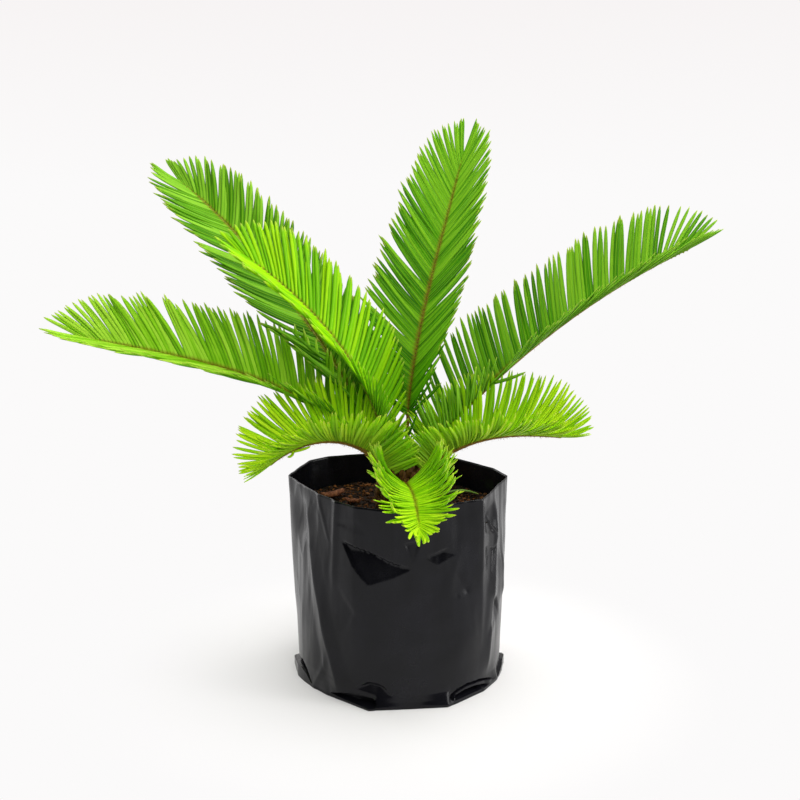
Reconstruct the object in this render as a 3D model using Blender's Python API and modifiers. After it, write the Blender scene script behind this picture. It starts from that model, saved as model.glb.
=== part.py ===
"""A potted sago palm: a young cycad with eight feather fronds, in a black film nursery bag.

Metres, +Z up. The origin is the middle of the bag's flat base. The front of the plant faces -Y.
"""

import random
from collections import namedtuple
from math import cos, degrees, hypot, pi, radians, sin, tau

import bmesh
import bpy
from mathutils import Vector
from mathutils.bvhtree import BVHTree
from mathutils.kdtree import KDTree

# Driving dimensions
BAG_RADIUS = 0.0985  # 12 inch lay-flat tube, filled to about 20 cm across
BAG_HEIGHT = 0.184
RIM_TILT = 0.0025  # the rim stands this much lower in front and higher behind
FILM_WALL = 0.0009  # real film is 0.1 mm; this is the thinnest wall that stays a sound solid
SEAT_GAP = 0.0003
SOIL_HEIGHT = 0.155
SOIL_RISE = 0.002  # the soil stands this much higher at the film
SOIL_CLEARANCE = 0.0007  # more room between the soil and the film, whose faces do not match one for one
CROWN = Vector((0.004, 0.0, 0.0))  # the stem's axis
STEM_RADIUS = 0.0265
STEM_TOP = 0.2005

# The bag's round profile: heights, and how far the film stands out from BAG_RADIUS there
BAG_PROFILE = (
    (0.0000, -0.0027),
    (0.0120, -0.0027),
    (0.0300, -0.0020),
    (0.0600, -0.0007),
    (0.1000, 0.0001),
    (BAG_HEIGHT, 0.0001),
)
# The rim's corners, as azimuth and radius, with straight film between them. The panels fade to
# the round base from RIM_PANELS_FROM down
RIM = (
    (5, 0.1025),  # right side fold of the flat tube
    (21, 0.0984),
    (42, 0.0910),
    (50, 0.0920),
    (85, 0.0965),
    (121, 0.1000),
    (132, 0.1070),
    (144, 0.1100),
    (174, 0.1060),  # left side fold
    (215, 0.0866),
    (245, 0.0927),
    (258, 0.0937),
    (267, 0.0980),
    (309, 0.0910),
    (320, 0.0970),
)
RIM_PANELS_FROM = 0.020
# The welded foot's corners, and how much of its outline the film has at each height
FOOT = (
    (1, 0.1010),
    (30, 0.0990),
    (62, 0.0985),
    (110, 0.1025),
    (150, 0.0985),
    (178, 0.1016),
    (196, 0.0991),
    (204, 0.0971),
    (212, 0.0956),
    (226, 0.0948),
    (255, 0.1038),
    (295, 0.1030),
    (322, 0.0984),
    (338, 0.0988),
    (348, 0.0987),
)
FOOT_SPREAD = ((0.0, 0.92), (0.0025, 1.0), (0.006, 0.6), (0.012, 0.12), (0.020, 0.0))
BAG_ROWS = (0.0, 0.0025, 0.006, 0.012, 0.020, 0.035, 0.052, 0.070, 0.088, 0.104, 0.120, 0.136, 0.152, 0.168)
BAG_SEGMENTS = 48
FLOOR_RINGS = (0.5, 0.85)  # rings of the flat base, as shares of its radius
SOIL_FLOOR_RINGS = (0.5, 0.97)
SOIL_TOP_RINGS = (0.94, 0.82, 0.68, 0.52, 0.36, 0.18, 0.0)  # from the film in to the stem's hole

# A crease runs between two heights and azimuths. Its depth is outward, its shape a ridge or a round wave
Crease = namedtuple(
    "Crease", "low_height low_azimuth low_depth high_height high_azimuth high_depth width sharp"
)
CREASES = (
    Crease(0.021, 235, 0.0035, 0.160, 203, 0.0022, 9, True),  # diagonal ridge on the left
    Crease(0.032, 327, 0.0022, 0.140, 337, 0.0025, 8, True),
    Crease(0.020, 98, 0.0025, 0.140, 76, 0.0020, 10, True),
    Crease(0.120, 229, 0.0000, 0.184, 231, 0.0020, 8, True),  # edge of the front left panel
    Crease(0.080, 309, 0.0000, 0.170, 306, -0.0025, 12, False),
)
CREASE_FADE = 0.02  # past its two heights a crease dies out over this much
RIDGE_POWER = 1.4  # how pointed a sharp crease's ridge is
# A dent is an inward hollow: height, azimuth, half height, half width in degrees, depth
Dent = namedtuple("Dent", "height azimuth half_height half_width depth")
DENTS = (
    Dent(0.131, 257, 0.021, 20, 0.0060),  # the large hollow in the front
    Dent(0.134, 291, 0.012, 10, 0.0025),
    Dent(0.010, 250, 0.013, 20, 0.0035),  # tucked pockets of the base
    Dent(0.009, 316, 0.012, 20, 0.0030),
    Dent(0.010, 62, 0.013, 24, 0.0030),
    Dent(0.010, 150, 0.013, 22, 0.0030),
    Dent(0.095, 118, 0.030, 20, 0.0045),
    Dent(0.115, 35, 0.024, 16, 0.0035),
)

# The stem, as (height, radius) from its foot in the soil to its top between the fronds
STEM_PROFILE = (
    (0.1300, 0.0140),
    (0.1380, 0.0225),
    (0.1480, 0.0258),
    (0.1570, STEM_RADIUS),
    (0.1650, 0.0262),
    (0.1725, 0.0250),
    (0.1795, 0.0230),
    (0.1860, 0.0200),
    (0.1915, 0.0160),
    (0.1960, 0.0110),
    (0.1990, 0.0060),
)
STEM_SEGMENTS = 42
STEM_ROW = 0.0036  # between rings of the part above the soil
LEAF_BASE_RELIEF = 0.11  # old leaf bases stand out by this share of the radius
LEAF_BASE_HEIGHT = 0.0125
LEAF_BASES_ROUND = 7
LEAF_BASE_START = 0.003  # the pattern begins this far above the soil

# Fronds, from the front to the back. lift is the rachis's elevation at foot, middle and tip; foot is
# where it leaves the stem, as azimuth, radius and height; thick is its half width there; rows are the
# angles of its right and left leaflets from its upper side; sweep is their angle to it at foot and
# tip; blade is the longest leaflet, and ends the first and last one as shares of it
Frond = namedtuple("Frond", "name length azimuth lift foot thick rows blade count sweep ends")
FRONDS = (
    Frond(
        name="frond_left_low", length=0.138, azimuth=199, lift=(74, 9, -40), foot=(217, 0.0170, 0.1844),
        thick=0.0030, rows=(30, 74), blade=0.063, count=34, sweep=(84, 40), ends=(0.55, 0.52),
    ),
    Frond(
        name="frond_right_low", length=0.144, azimuth=-8, lift=(56, 14, -5), foot=(-14, 0.0180, 0.1871),
        thick=0.0028, rows=(74, 30), blade=0.062, count=34, sweep=(86, 40), ends=(0.60, 0.64),
    ),
    Frond(
        name="frond_front", length=0.145, azimuth=-85, lift=(11, 1, -33), foot=(-86, 0.0180, 0.1837),
        thick=0.0024, rows=(62, 54), blade=0.064, count=30, sweep=(66, 56), ends=(0.95, 0.32),
    ),
    Frond(
        name="frond_left_upper", length=0.253, azimuth=192, lift=(81, 54, 34), foot=(195, 0.0119, 0.1981),
        thick=0.0023, rows=(12, 104), blade=0.067, count=46, sweep=(58, 38), ends=(0.40, 0.58),
    ),
    Frond(
        name="frond_left", length=0.331, azimuth=177, lift=(57, 18, 13), foot=(182, 0.0167, 0.1898),
        thick=0.0024, rows=(30, 87), blade=0.070, count=50, sweep=(62, 42), ends=(0.36, 0.66),
    ),
    Frond(
        name="frond_right", length=0.333, azimuth=5, lift=(51, 38, 24), foot=(4, 0.0120, 0.1980),
        thick=0.0023, rows=(72, 30), blade=0.070, count=50, sweep=(66, 48), ends=(0.50, 0.70),
    ),
    Frond(
        name="frond_upright", length=0.319, azimuth=62, lift=(90, 62, 63), foot=(64, 0.0061, 0.2021),
        thick=0.0022, rows=(68, 66), blade=0.073, count=50, sweep=(60, 35), ends=(0.48, 0.60),
    ),
    Frond(
        name="frond_back_left", length=0.363, azimuth=154, lift=(57, 49, 32), foot=(150, 0.0119, 0.1982),
        thick=0.0023, rows=(30, 104), blade=0.070, count=52, sweep=(60, 38), ends=(0.36, 0.66),
    ),
)
SPINE_STEPS = 160
BARE_SHARE = 0.05  # bare stalk below the first leaflet
FOOT_DEPTH = 0.008  # how far a stalk is set into the stem
FOOT_TAPER = 0.85  # its section at that depth, over the section at the stem's skin
SOCKET_GROWTH = 1.2  # a socket's section over the stalk's
SOCKET_REACH = 0.012  # a socket's mouth is cut this far out along the stalk
TIP_THICKNESS = 0.38  # the rachis's half width at its tip, as a share of that at its foot
KEEL = 1.35  # depth of the rachis's keel, over its half width
ROOT_HEIGHT = 0.0011  # a leaflet's thickness at the rachis
BLADE_THICKNESS = 0.0007
BLADE_FILL = 0.80  # a leaflet's width, as a share of the room between its neighbours
BLADE_MIDDLE = 0.6  # where a leaflet starts to taper
BLADE_RISE = 0.28  # leaflets reach their full length this far up the frond
BLADE_FALL = 0.30  # and shorten again over this last share of it
SWEEP_POWER = 1.3  # how late along the frond the leaflets' sweep changes
FOLD_AT_FOOT = 0.62  # the two rows stand closer together near the foot
UNFOLDED = 0.45  # and at their full angles from here on
BLADE_CURL = 8  # degrees that a leaflet's outer part leans towards the frond's tip
LIFT_VARIATION = 2.5
SWEEP_VARIATION = 1.0
LENGTH_VARIATION = 0.05
CLEARANCE = 0.0046  # between the middle lines of leaflets on two fronds
LIFT_STEPS = (0, 6, -6, 12, -12)  # degrees that a leaflet may be lifted over the one before it
MOST_LIFT = 24
LIFT_COST = 0.0004  # length given up for each degree of lift
SHORTEST_BLADE = 0.010
BLADE_SAMPLES = 12

# Loose pieces on the soil
Chip = namedtuple("Chip", "azimuth distance length width height turn")
CHIPS = (
    Chip(157, 0.070, 0.023, 0.012, 0.007, 40),
    Chip(177, 0.077, 0.018, 0.010, 0.005, 80),
    Chip(160, 0.047, 0.014, 0.009, 0.005, -20),
    Chip(236, 0.070, 0.018, 0.010, 0.005, 15),
    Chip(322, 0.064, 0.014, 0.008, 0.004, 60),
    Chip(75, 0.066, 0.016, 0.009, 0.005, -35),
)
CHIP_POINT = 0.6  # how much a chip narrows towards its ends
CHIP_TOP = 0.9  # its top's length over its underside's
CHIP_LOWEST = 0.55  # the least of its height that a point of its top keeps
CHIP_ROUGH = 0.9
FALLEN_LENGTH = 0.036
FALLEN_WIDTH = 0.0034
FALLEN_PLACE = Vector((0.060, 0.040, 0.0))
FALLEN_BEND = radians(35)
FALLEN_ARCH = 0.0035
FALLEN_STEPS = 10

SEED = 11
rng = random.Random(SEED)


def clear_scene():
    for old in list(bpy.data.objects):
        bpy.data.objects.remove(old, do_unlink=True)


def make_collection(name):
    made = bpy.data.collections.new(name)
    bpy.context.scene.collection.children.link(made)
    return made


def finish(name, colour, roughness):
    """A Principled material with the part's own colour, as linear red, green and blue."""
    made = bpy.data.materials.new(name)
    made.use_nodes = True
    shader = made.node_tree.nodes["Principled BSDF"]
    shader.inputs["Base Color"].default_value = (*colour, 1.0)
    shader.inputs["Roughness"].default_value = roughness
    shader.inputs["Metallic"].default_value = 0.0
    made.diffuse_color = (*colour, 1.0)
    return made


def add_object(bm, name, material, collection):
    bmesh.ops.recalc_face_normals(bm, faces=bm.faces)
    mesh = bpy.data.meshes.new(name)
    bm.to_mesh(mesh)
    bm.free()
    mesh.materials.append(material)
    made = bpy.data.objects.new(name, mesh)
    collection.objects.link(made)
    return made


def ease(share):
    """A smooth rise from 0 to 1."""
    share = min(max(share, 0.0), 1.0)
    return share * share * (3 - 2 * share)


def between(table, place):
    """The value at a place in a table of (place, value) pairs, on straight lines between them."""
    for (low, first), (high, second) in zip(table, table[1:]):
        if place <= high:
            return first + (second - first) * max(place - low, 0) / (high - low)
    return table[-1][1]


def turned_by(azimuth, other):
    """Degrees from one azimuth to another, between -180 and 180."""
    return (azimuth - other + 180) % 360 - 180


def loft(bm, rings, closed_start=True):
    """A skin through rings of points that all hold the same number. Returns each ring's vertices."""
    start = bmesh.ops.create_circle(bm, segments=len(rings[0]), radius=1.0, cap_ends=closed_start)
    verts = list(start["verts"])
    edges = [edge for edge in bm.edges if edge.is_valid]
    made = []
    for ring in rings:
        if made:
            grown = bmesh.ops.extrude_edge_only(bm, edges=edges)["geom"]
            edges = [part for part in grown if isinstance(part, bmesh.types.BMEdge)]
            fresh = {part for part in grown if isinstance(part, bmesh.types.BMVert)}
            verts = [
                next(edge.other_vert(old) for edge in old.link_edges if edge.other_vert(old) in fresh)
                for old in verts
            ]
            edges = [edge for edge in edges if edge.verts[0] in fresh and edge.verts[1] in fresh]
        for vert, point in zip(verts, ring):
            vert.co = point
        made.append(verts)
    return made


def ring_points(segments, point_at):
    return [point_at(tau * k / segments) for k in range(segments)]


# The bag


def crease_depth(crease, azimuth, height):
    """How far a crease moves the film outward at an azimuth in degrees and a height."""
    along = (height - crease.low_height) / (crease.high_height - crease.low_height)
    if not 0 <= along <= 1:
        past = min(abs(height - crease.low_height), abs(height - crease.high_height)) / CREASE_FADE
        fade = 1 - ease(past)
        along = min(max(along, 0.0), 1.0)
    else:
        fade = 1.0
    middle = crease.low_azimuth + (crease.high_azimuth - crease.low_azimuth) * along
    depth = crease.low_depth + (crease.high_depth - crease.low_depth) * along
    off = abs(turned_by(azimuth, middle)) / crease.width
    if off >= 1:
        return 0.0
    shape = (1 - off) ** RIDGE_POWER if crease.sharp else ease(1 - off)
    return depth * shape * fade


def dent_depth(dent, azimuth, height):
    across = turned_by(azimuth, dent.azimuth) / dent.half_width
    up = (height - dent.height) / dent.half_height
    return dent.depth * ease(1 - hypot(across, up))


def cornered_radius(corners, azimuth):
    """The radius of an outline at an azimuth in degrees, on straight lines between its corners."""
    for (first, near), (second, far) in zip(corners, corners[1:] + corners[:1]):
        turn, span = (azimuth - first) % 360, (second - first) % 360
        if turn <= span:
            before, after = radians(turn), radians(span - turn)
            return near * far * sin(before + after) / (near * sin(before) + far * sin(after))


def film_radius(angle, height):
    azimuth = degrees(angle)
    panel = min(max((height - RIM_PANELS_FROM) / (BAG_HEIGHT - RIM_PANELS_FROM), 0.0), 1.0)
    radius = BAG_RADIUS + between(BAG_PROFILE, height)
    radius += (cornered_radius(RIM, azimuth) - radius) * panel
    radius += (cornered_radius(FOOT, azimuth) - radius) * between(FOOT_SPREAD, height)
    radius += sum(crease_depth(crease, azimuth, height) for crease in CREASES)
    return radius - sum(dent_depth(dent, azimuth, height) for dent in DENTS)


def film_point(angle, height, inset=0.0):
    radius = film_radius(angle, height) - inset
    return Vector((radius * cos(angle), radius * sin(angle), height))


def rim_point(angle):
    point = film_point(angle, BAG_HEIGHT)
    point.z += RIM_TILT * sin(angle)
    return point


def floor_ring(share, height, inset=0.0):
    """A ring of the flat base, at a share of its radius."""
    edge = ring_points(BAG_SEGMENTS, lambda angle: film_point(angle, 0.0, inset) * share)
    return [Vector((point.x, point.y, height)) for point in edge]


def add_bag(collection):
    bm = bmesh.new()
    rings = [floor_ring(share, 0.0) for share in FLOOR_RINGS]
    rings += [ring_points(BAG_SEGMENTS, lambda angle: film_point(angle, height)) for height in BAG_ROWS]
    rings.append(ring_points(BAG_SEGMENTS, rim_point))
    loft(bm, rings)
    film = finish("black_polythene_film", (0.010, 0.010, 0.012), 0.28)
    bag = add_object(bm, "nursery_bag", film, collection)
    wall = bag.modifiers.new("film_wall", "SOLIDIFY")
    wall.thickness = FILM_WALL
    wall.offset = -1.0
    wall.use_even_offset = False
    return bag


# The stem and the soil it stands in


def leaf_base(angle, height):
    """A diamond pattern of old leaf bases above the soil, as a share of the radius."""
    above = height - SOIL_HEIGHT - LEAF_BASE_START
    row = above / LEAF_BASE_HEIGHT
    turn = angle * LEAF_BASES_ROUND
    relief = LEAF_BASE_RELIEF * ease(2 * above / LEAF_BASE_HEIGHT)
    return relief * cos(turn + pi * row) * cos(turn - pi * row)


def round_point(radius, angle, height):
    """A point at a distance from the stem's axis."""
    return CROWN + Vector((radius * cos(angle), radius * sin(angle), height))


def stem_point(angle, height):
    return round_point(between(STEM_PROFILE, height) * (1 + leaf_base(angle, height)), angle, height)


def stem_rings():
    heights = [height for height, _ in STEM_PROFILE if height < SOIL_HEIGHT]
    highest = STEM_PROFILE[-1][0]
    rows = int((highest - SOIL_HEIGHT) / STEM_ROW)
    heights += [highest - STEM_ROW * row for row in range(rows, -1, -1)]
    return [ring_points(STEM_SEGMENTS, lambda angle: stem_point(angle, height)) for height in heights]


def add_stem(collection):
    bm = bmesh.new()
    last = loft(bm, stem_rings())[-1]
    cap = bm.faces.new(last)
    top = bmesh.ops.poke(bm, faces=[cap])["verts"][0]
    top.co.z = STEM_TOP
    bark = finish("cycad_bark", (0.060, 0.030, 0.014), 0.85)
    return add_object(bm, "stem", bark, collection)


def soil_lumps(x, y):
    """The soil's own unevenness: broad lumps, smaller ones, and a slight rise towards the film."""
    broad = 0.0016 * sin(71 * x + 0.4) * sin(83 * y - 0.7)
    small = 0.0010 * sin(190 * x + 120 * y)
    return broad + small + SOIL_RISE * hypot(x, y) / BAG_RADIUS


def add_soil(collection):
    """A plug that fills the bag, with a plain hole for the stem's foot."""
    inset = FILM_WALL + 2 * SEAT_GAP + SOIL_CLEARANCE
    floor = FILM_WALL + SEAT_GAP
    bm = bmesh.new()
    rings = [floor_ring(share, floor, inset) for share in SOIL_FLOOR_RINGS]
    for height in [row for row in BAG_ROWS if floor < row < SOIL_HEIGHT]:
        rings.append(ring_points(BAG_SEGMENTS, lambda angle: film_point(angle, height, inset)))
    edge = rings[-1]
    hole = STEM_RADIUS + 2 * SEAT_GAP
    for share in SOIL_TOP_RINGS:
        ring = []
        for k, point in enumerate(edge):
            angle = tau * k / BAG_SEGMENTS
            inner = round_point(hole, angle, 0.0)
            flat = inner.lerp(Vector((point.x, point.y, 0)), share)
            flat.z = SOIL_HEIGHT + soil_lumps(flat.x, flat.y)
            ring.append(flat)
        rings.append(ring)
    for height, radius in reversed([row for row in STEM_PROFILE if row[0] < SOIL_HEIGHT]):
        wide = radius + 2 * SEAT_GAP
        low = height - (SEAT_GAP if height == STEM_PROFILE[0][0] else 0)
        rings.append(ring_points(BAG_SEGMENTS, lambda angle: round_point(wide, angle, low)))
    last = loft(bm, rings)[-1]
    bm.faces.new(last)
    soil = finish("potting_soil", (0.035, 0.018, 0.009), 0.95)
    return add_object(bm, "soil", soil, collection)


# The fronds


def lift_at(frond, u):
    """The rachis's elevation at a share of its length, through foot, middle and tip."""
    foot, middle, tip = frond.lift
    return radians(foot * (1 - u) * (1 - 2 * u) + middle * 4 * u * (1 - u) + tip * u * (2 * u - 1))


def axes_at(frond, u):
    """Unit directions along the rachis, to its right and square above it."""
    lift, azimuth = lift_at(frond, u), radians(frond.azimuth)
    along = Vector((cos(lift) * cos(azimuth), cos(lift) * sin(azimuth), sin(lift)))
    right = Vector((sin(azimuth), -cos(azimuth), 0.0))
    return along, right, right.cross(along)


def spine_of(frond):
    """Points down the middle of the rachis, from its foot to its tip."""
    azimuth, radius, height = frond.foot
    points = [round_point(radius, radians(azimuth), height)]
    step = frond.length / SPINE_STEPS
    for k in range(SPINE_STEPS):
        points.append(points[-1] + axes_at(frond, (k + 0.5) / SPINE_STEPS)[0] * step)
    return points


def on_spine(spine, u):
    place = min(u, 1.0) * SPINE_STEPS
    low = min(int(place), SPINE_STEPS - 1)
    return spine[low].lerp(spine[low + 1], place - low)


def row_angle(frond, side, u):
    """Angle of a row of leaflets from the rachis's upper side; side is 1 right and -1 left."""
    full = frond.rows[0] if side > 0 else frond.rows[1]
    return radians(full * (FOLD_AT_FOOT + (1 - FOLD_AT_FOOT) * ease(u / UNFOLDED)))


def row_axes(frond, side, u, extra=0.0):
    """Where a row points across the rachis, and the direction square to it."""
    _, right, above = axes_at(frond, u)
    angle = row_angle(frond, side, u) + extra
    row = above * cos(angle) + right * side * sin(angle)
    return row, above * sin(angle) - right * side * cos(angle)


def half_width(frond, u):
    return frond.thick * (1 - (1 - TIP_THICKNESS) * u)


def section(frond, spine, u, back=0.0, growth=1.0):
    """Five points round the rachis: a flat for each row of leaflets, a groove above and a keel below."""
    along, _, above = axes_at(frond, u)
    centre = on_spine(spine, u) - along * back
    half = half_width(frond, u) * growth
    ring = []
    for side in (-1, 1):
        row, square = row_axes(frond, side, u)
        middle, edge = centre + row * half, square * ROOT_HEIGHT / 2
        ring += [middle + edge, middle - edge] if side < 0 else [middle - edge, middle + edge]
    ring.insert(2, centre - above * half * KEEL)
    return ring


def blade_length(frond, v):
    """Leaflets lengthen from the foot, keep their length and shorten to the tip."""
    first, last = frond.ends
    rise = first + (1 - first) * ease(v / BLADE_RISE)
    fall = 1 - (1 - last) * ease((v - 1 + BLADE_FALL) / BLADE_FALL)
    return frond.blade * rise * fall


def blade_points(root, along, row, sweep, length):
    """A leaflet's middle line: its root, where it starts to taper, and its tip."""
    inner = row * sin(sweep) + along * cos(sweep)
    curled = sweep - radians(BLADE_CURL)
    outer = row * sin(curled) + along * cos(curled)
    middle = root + inner * length * BLADE_MIDDLE
    return root, middle, middle + outer * length * (1 - BLADE_MIDDLE)


def line_samples(points, count=BLADE_SAMPLES):
    root, middle, tip = points
    found = []
    for k in range(1, count + 1):
        share = k / count
        if share <= BLADE_MIDDLE:
            found.append(root.lerp(middle, share / BLADE_MIDDLE))
        else:
            found.append(middle.lerp(tip, (share - BLADE_MIDDLE) / (1 - BLADE_MIDDLE)))
    return found


def clear_share(taken, points):
    """The share of a leaflet that stays clear of the stem and of what other fronds already hold."""
    for k, point in enumerate(line_samples(points)):
        if taken.find(point)[2] < CLEARANCE:
            return k / BLADE_SAMPLES
    return 1.0


Blade = namedtuple("Blade", "step side points width")


def plan_blades(frond, spine, taken):
    """Every leaflet of a frond, lifted or shortened where another frond is in its way."""
    planned = []
    before = {1: 0, -1: 0}
    for step in range(frond.count):
        v = (step + 0.5) / frond.count
        u = BARE_SHARE + (1 - BARE_SHARE) * v
        along, _, _ = axes_at(frond, u)
        pitch = frond.length * (1 - BARE_SHARE) / frond.count
        for side in (-1, 1):
            first, last = frond.sweep
            wave = SWEEP_VARIATION * sin(1.05 * step + 2.1 * side)
            sweep = radians(first + (last - first) * v**SWEEP_POWER + wave)
            jitter = rng.uniform(-LIFT_VARIATION, LIFT_VARIATION)
            length = blade_length(frond, v) * (1 + rng.uniform(-LENGTH_VARIATION, LENGTH_VARIATION))
            flat, _ = row_axes(frond, side, u)
            root = on_spine(spine, u) + flat * half_width(frond, u)
            tried = []
            for change in LIFT_STEPS:
                lift = min(max(before[side] + change, -MOST_LIFT), MOST_LIFT)
                row, _ = row_axes(frond, side, u, radians(jitter - lift))
                kept = clear_share(taken, blade_points(root, along, row, sweep, length))
                worth = kept * length - LIFT_COST * (abs(lift) + abs(change) / 2)
                tried.append((worth, kept, lift))
            _, kept, before[side] = max(tried)
            row, _ = row_axes(frond, side, u, radians(jitter - before[side]))
            if kept * length < SHORTEST_BLADE:
                continue
            points = blade_points(root, along, row, sweep, kept * length)
            planned.append(Blade(step, side, points, BLADE_FILL * pitch * sin(sweep)))
    return planned


def grow_blade(bm, flank, frond, blade, u):
    """Draws a leaflet out of its flat on the rachis, first at full width and then to a point."""
    along, _, _ = axes_at(frond, u)
    root, middle, tip = blade.points
    inner = (middle - root).normalized()
    across = (along - inner * along.dot(inner)).normalized() * blade.width / 2
    thick = across.cross(inner).normalized() * BLADE_THICKNESS / 2
    centre = flank.calc_center_median()
    grown = bmesh.ops.extrude_discrete_faces(bm, faces=[flank])["faces"][0]
    upper = row_axes(frond, blade.side, u)[1]
    if thick.dot(upper) < 0:
        thick.negate()
    for vert in grown.verts:
        off = vert.co - centre
        outward = across if off.dot(along) > 0 else -across
        vert.co = middle + outward + (thick if off.dot(upper) > 0 else -thick)
    peak = bmesh.ops.poke(bm, faces=[grown])["verts"][0]
    peak.co = tip


def step_share(frond, step):
    return BARE_SHARE + (1 - BARE_SHARE) * step / frond.count


def add_frond(frond, spine, blades, material, collection):
    bm = bmesh.new()
    rings = [section(frond, spine, 0.0, FOOT_DEPTH, FOOT_TAPER), section(frond, spine, 0.0)]
    rings += [section(frond, spine, step_share(frond, step)) for step in range(frond.count + 1)]
    made = loft(bm, rings)
    end = bm.faces.new(made[-1])
    along = axes_at(frond, 1.0)[0]
    bmesh.ops.poke(bm, faces=[end])["verts"][0].co += along * frond.thick
    for blade in blades:
        low, high = made[2 + blade.step], made[3 + blade.step]
        corners = (0, 1) if blade.side < 0 else (3, 4)
        flank = bm.faces.get([low[corners[0]], low[corners[1]], high[corners[1]], high[corners[0]]])
        grow_blade(bm, flank, frond, blade, step_share(frond, blade.step + 0.5))
    return add_object(bm, frond.name, material, collection)


def add_fronds(collection):
    leaf = finish("cycad_leaf", (0.090, 0.270, 0.020), 0.45)
    spines = {frond.name: spine_of(frond) for frond in FRONDS}
    held = {frond.name: spines[frond.name][2:] for frond in FRONDS}
    held["stem"] = [point for ring in stem_rings() for point in ring]
    for frond in FRONDS:
        others = [point for name, points in held.items() if name != frond.name for point in points]
        taken = KDTree(len(others))
        for k, point in enumerate(others):
            taken.insert(point, k)
        taken.balance()
        blades = plan_blades(frond, spines[frond.name], taken)
        for blade in blades:
            held[frond.name] = held[frond.name] + line_samples(blade.points)
        add_frond(frond, spines[frond.name], blades, leaf, collection)
    return spines


def cut_sockets(stem, spines, collection):
    """A plain hole in the stem for each stalk."""
    for frond in FRONDS:
        spine = spines[frond.name]
        bm = bmesh.new()
        rings = [
            section(frond, spine, 0.0, FOOT_DEPTH + SEAT_GAP, SOCKET_GROWTH),
            section(frond, spine, 0.0, -SOCKET_REACH, SOCKET_GROWTH),
        ]
        bm.faces.new(loft(bm, rings)[-1])
        bmesh.ops.recalc_face_normals(bm, faces=bm.faces)
        mesh = bpy.data.meshes.new("socket_" + frond.name)
        bm.to_mesh(mesh)
        bm.free()
        cutter = bpy.data.objects.new("socket_" + frond.name, mesh)
        cutter.hide_render = True
        cutter.display_type = "WIRE"
        collection.objects.link(cutter)
        hole = stem.modifiers.new(cutter.name, "BOOLEAN")
        hole.operation = "DIFFERENCE"
        hole.object = cutter


# Loose pieces on the soil


def highest_under(surface, points):
    """The highest place of a surface straight below any of some points."""
    down = Vector((0, 0, -1))
    found = [surface.ray_cast(Vector((point.x, point.y, BAG_HEIGHT)), down)[0] for point in points]
    return max(hit.z for hit in found if hit)


def add_chip(number, chip, surface, material, collection):
    bm = bmesh.new()
    bmesh.ops.create_cube(bm, size=1.0)
    bmesh.ops.subdivide_edges(bm, edges=bm.edges, cuts=1, use_grid_fill=True)
    for vert in bm.verts:
        vert.co.y *= 1 - CHIP_POINT * abs(vert.co.x)
        if vert.co.z > 0:
            vert.co.z *= rng.uniform(CHIP_LOWEST, 1.0)
            vert.co.x *= CHIP_TOP
        vert.co.x *= chip.length * rng.uniform(CHIP_ROUGH, 1.0)
        vert.co.y *= chip.width * rng.uniform(CHIP_ROUGH, 1.0)
        vert.co.z *= chip.height
    turn, azimuth = radians(chip.turn), radians(chip.azimuth)
    place = Vector((cos(azimuth), sin(azimuth), 0)) * chip.distance
    for vert in bm.verts:
        x, y = vert.co.x, vert.co.y
        vert.co.x = place.x + x * cos(turn) - y * sin(turn)
        vert.co.y = place.y + x * sin(turn) + y * cos(turn)
    under = [vert.co.copy() for vert in bm.verts]
    lift = highest_under(surface, under) + 2 * SEAT_GAP - min(point.z for point in under)
    bmesh.ops.translate(bm, verts=bm.verts, vec=(0, 0, lift))
    add_object(bm, f"bark_chip_{number}", material, collection)


def add_fallen_leaflet(surface, collection):
    """A shed leaflet that lies in an arc on the soil."""
    bm = bmesh.new()
    rings = []
    radius = FALLEN_LENGTH / FALLEN_BEND
    line = []
    for k in range(FALLEN_STEPS + 1):
        turn = FALLEN_BEND * (k / FALLEN_STEPS - 0.5)
        line.append(FALLEN_PLACE + Vector((radius * sin(turn), radius * (cos(turn) - 1), 0)))
    bed = highest_under(surface, line) + 3 * SEAT_GAP
    for k, point in enumerate(line):
        share = k / FALLEN_STEPS
        turn = FALLEN_BEND * (share - 0.5)
        half = FALLEN_WIDTH / 2 * (0.25 + 0.75 * sin(pi * (0.12 + 0.8 * share)))
        side = Vector((sin(turn), cos(turn), 0)) * half
        under = point + Vector((0, 0, bed + FALLEN_ARCH * sin(pi * share)))
        over = under + Vector((0, 0, BLADE_THICKNESS))
        rings.append([under + side, under - side, over - side, over + side])
    bm.faces.new(loft(bm, rings)[-1])
    leaf = finish("shed_leaflet", (0.100, 0.240, 0.040), 0.5)
    add_object(bm, "fallen_leaflet", leaf, collection)


def add_loose_pieces(soil, collection):
    graph = bpy.context.evaluated_depsgraph_get()
    surface = BVHTree.FromObject(soil, graph)
    bark = finish("bark_chip", (0.110, 0.045, 0.022), 0.9)
    for number, chip in enumerate(CHIPS, 1):
        add_chip(number, chip, surface, bark, collection)
    add_fallen_leaflet(surface, collection)


def main():
    clear_scene()
    plant = make_collection("potted_sago_palm")
    cutters = make_collection("sockets")
    add_bag(plant)
    soil = add_soil(plant)
    stem = add_stem(plant)
    spines = add_fronds(plant)
    cut_sockets(stem, spines, cutters)
    add_loose_pieces(soil, plant)


main()
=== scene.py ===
# %% [markdown]
# # A potted sago palm in a black nursery bag
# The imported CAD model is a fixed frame. It says where every piece is and how large it may
# be. This script hides each plain solid behind a finer piece of the same form, gives every
# surface a procedural material, and sets the plant in a white studio.
# Sizes are in metres, +Z is up, and the front of the plant faces -Y.

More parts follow.
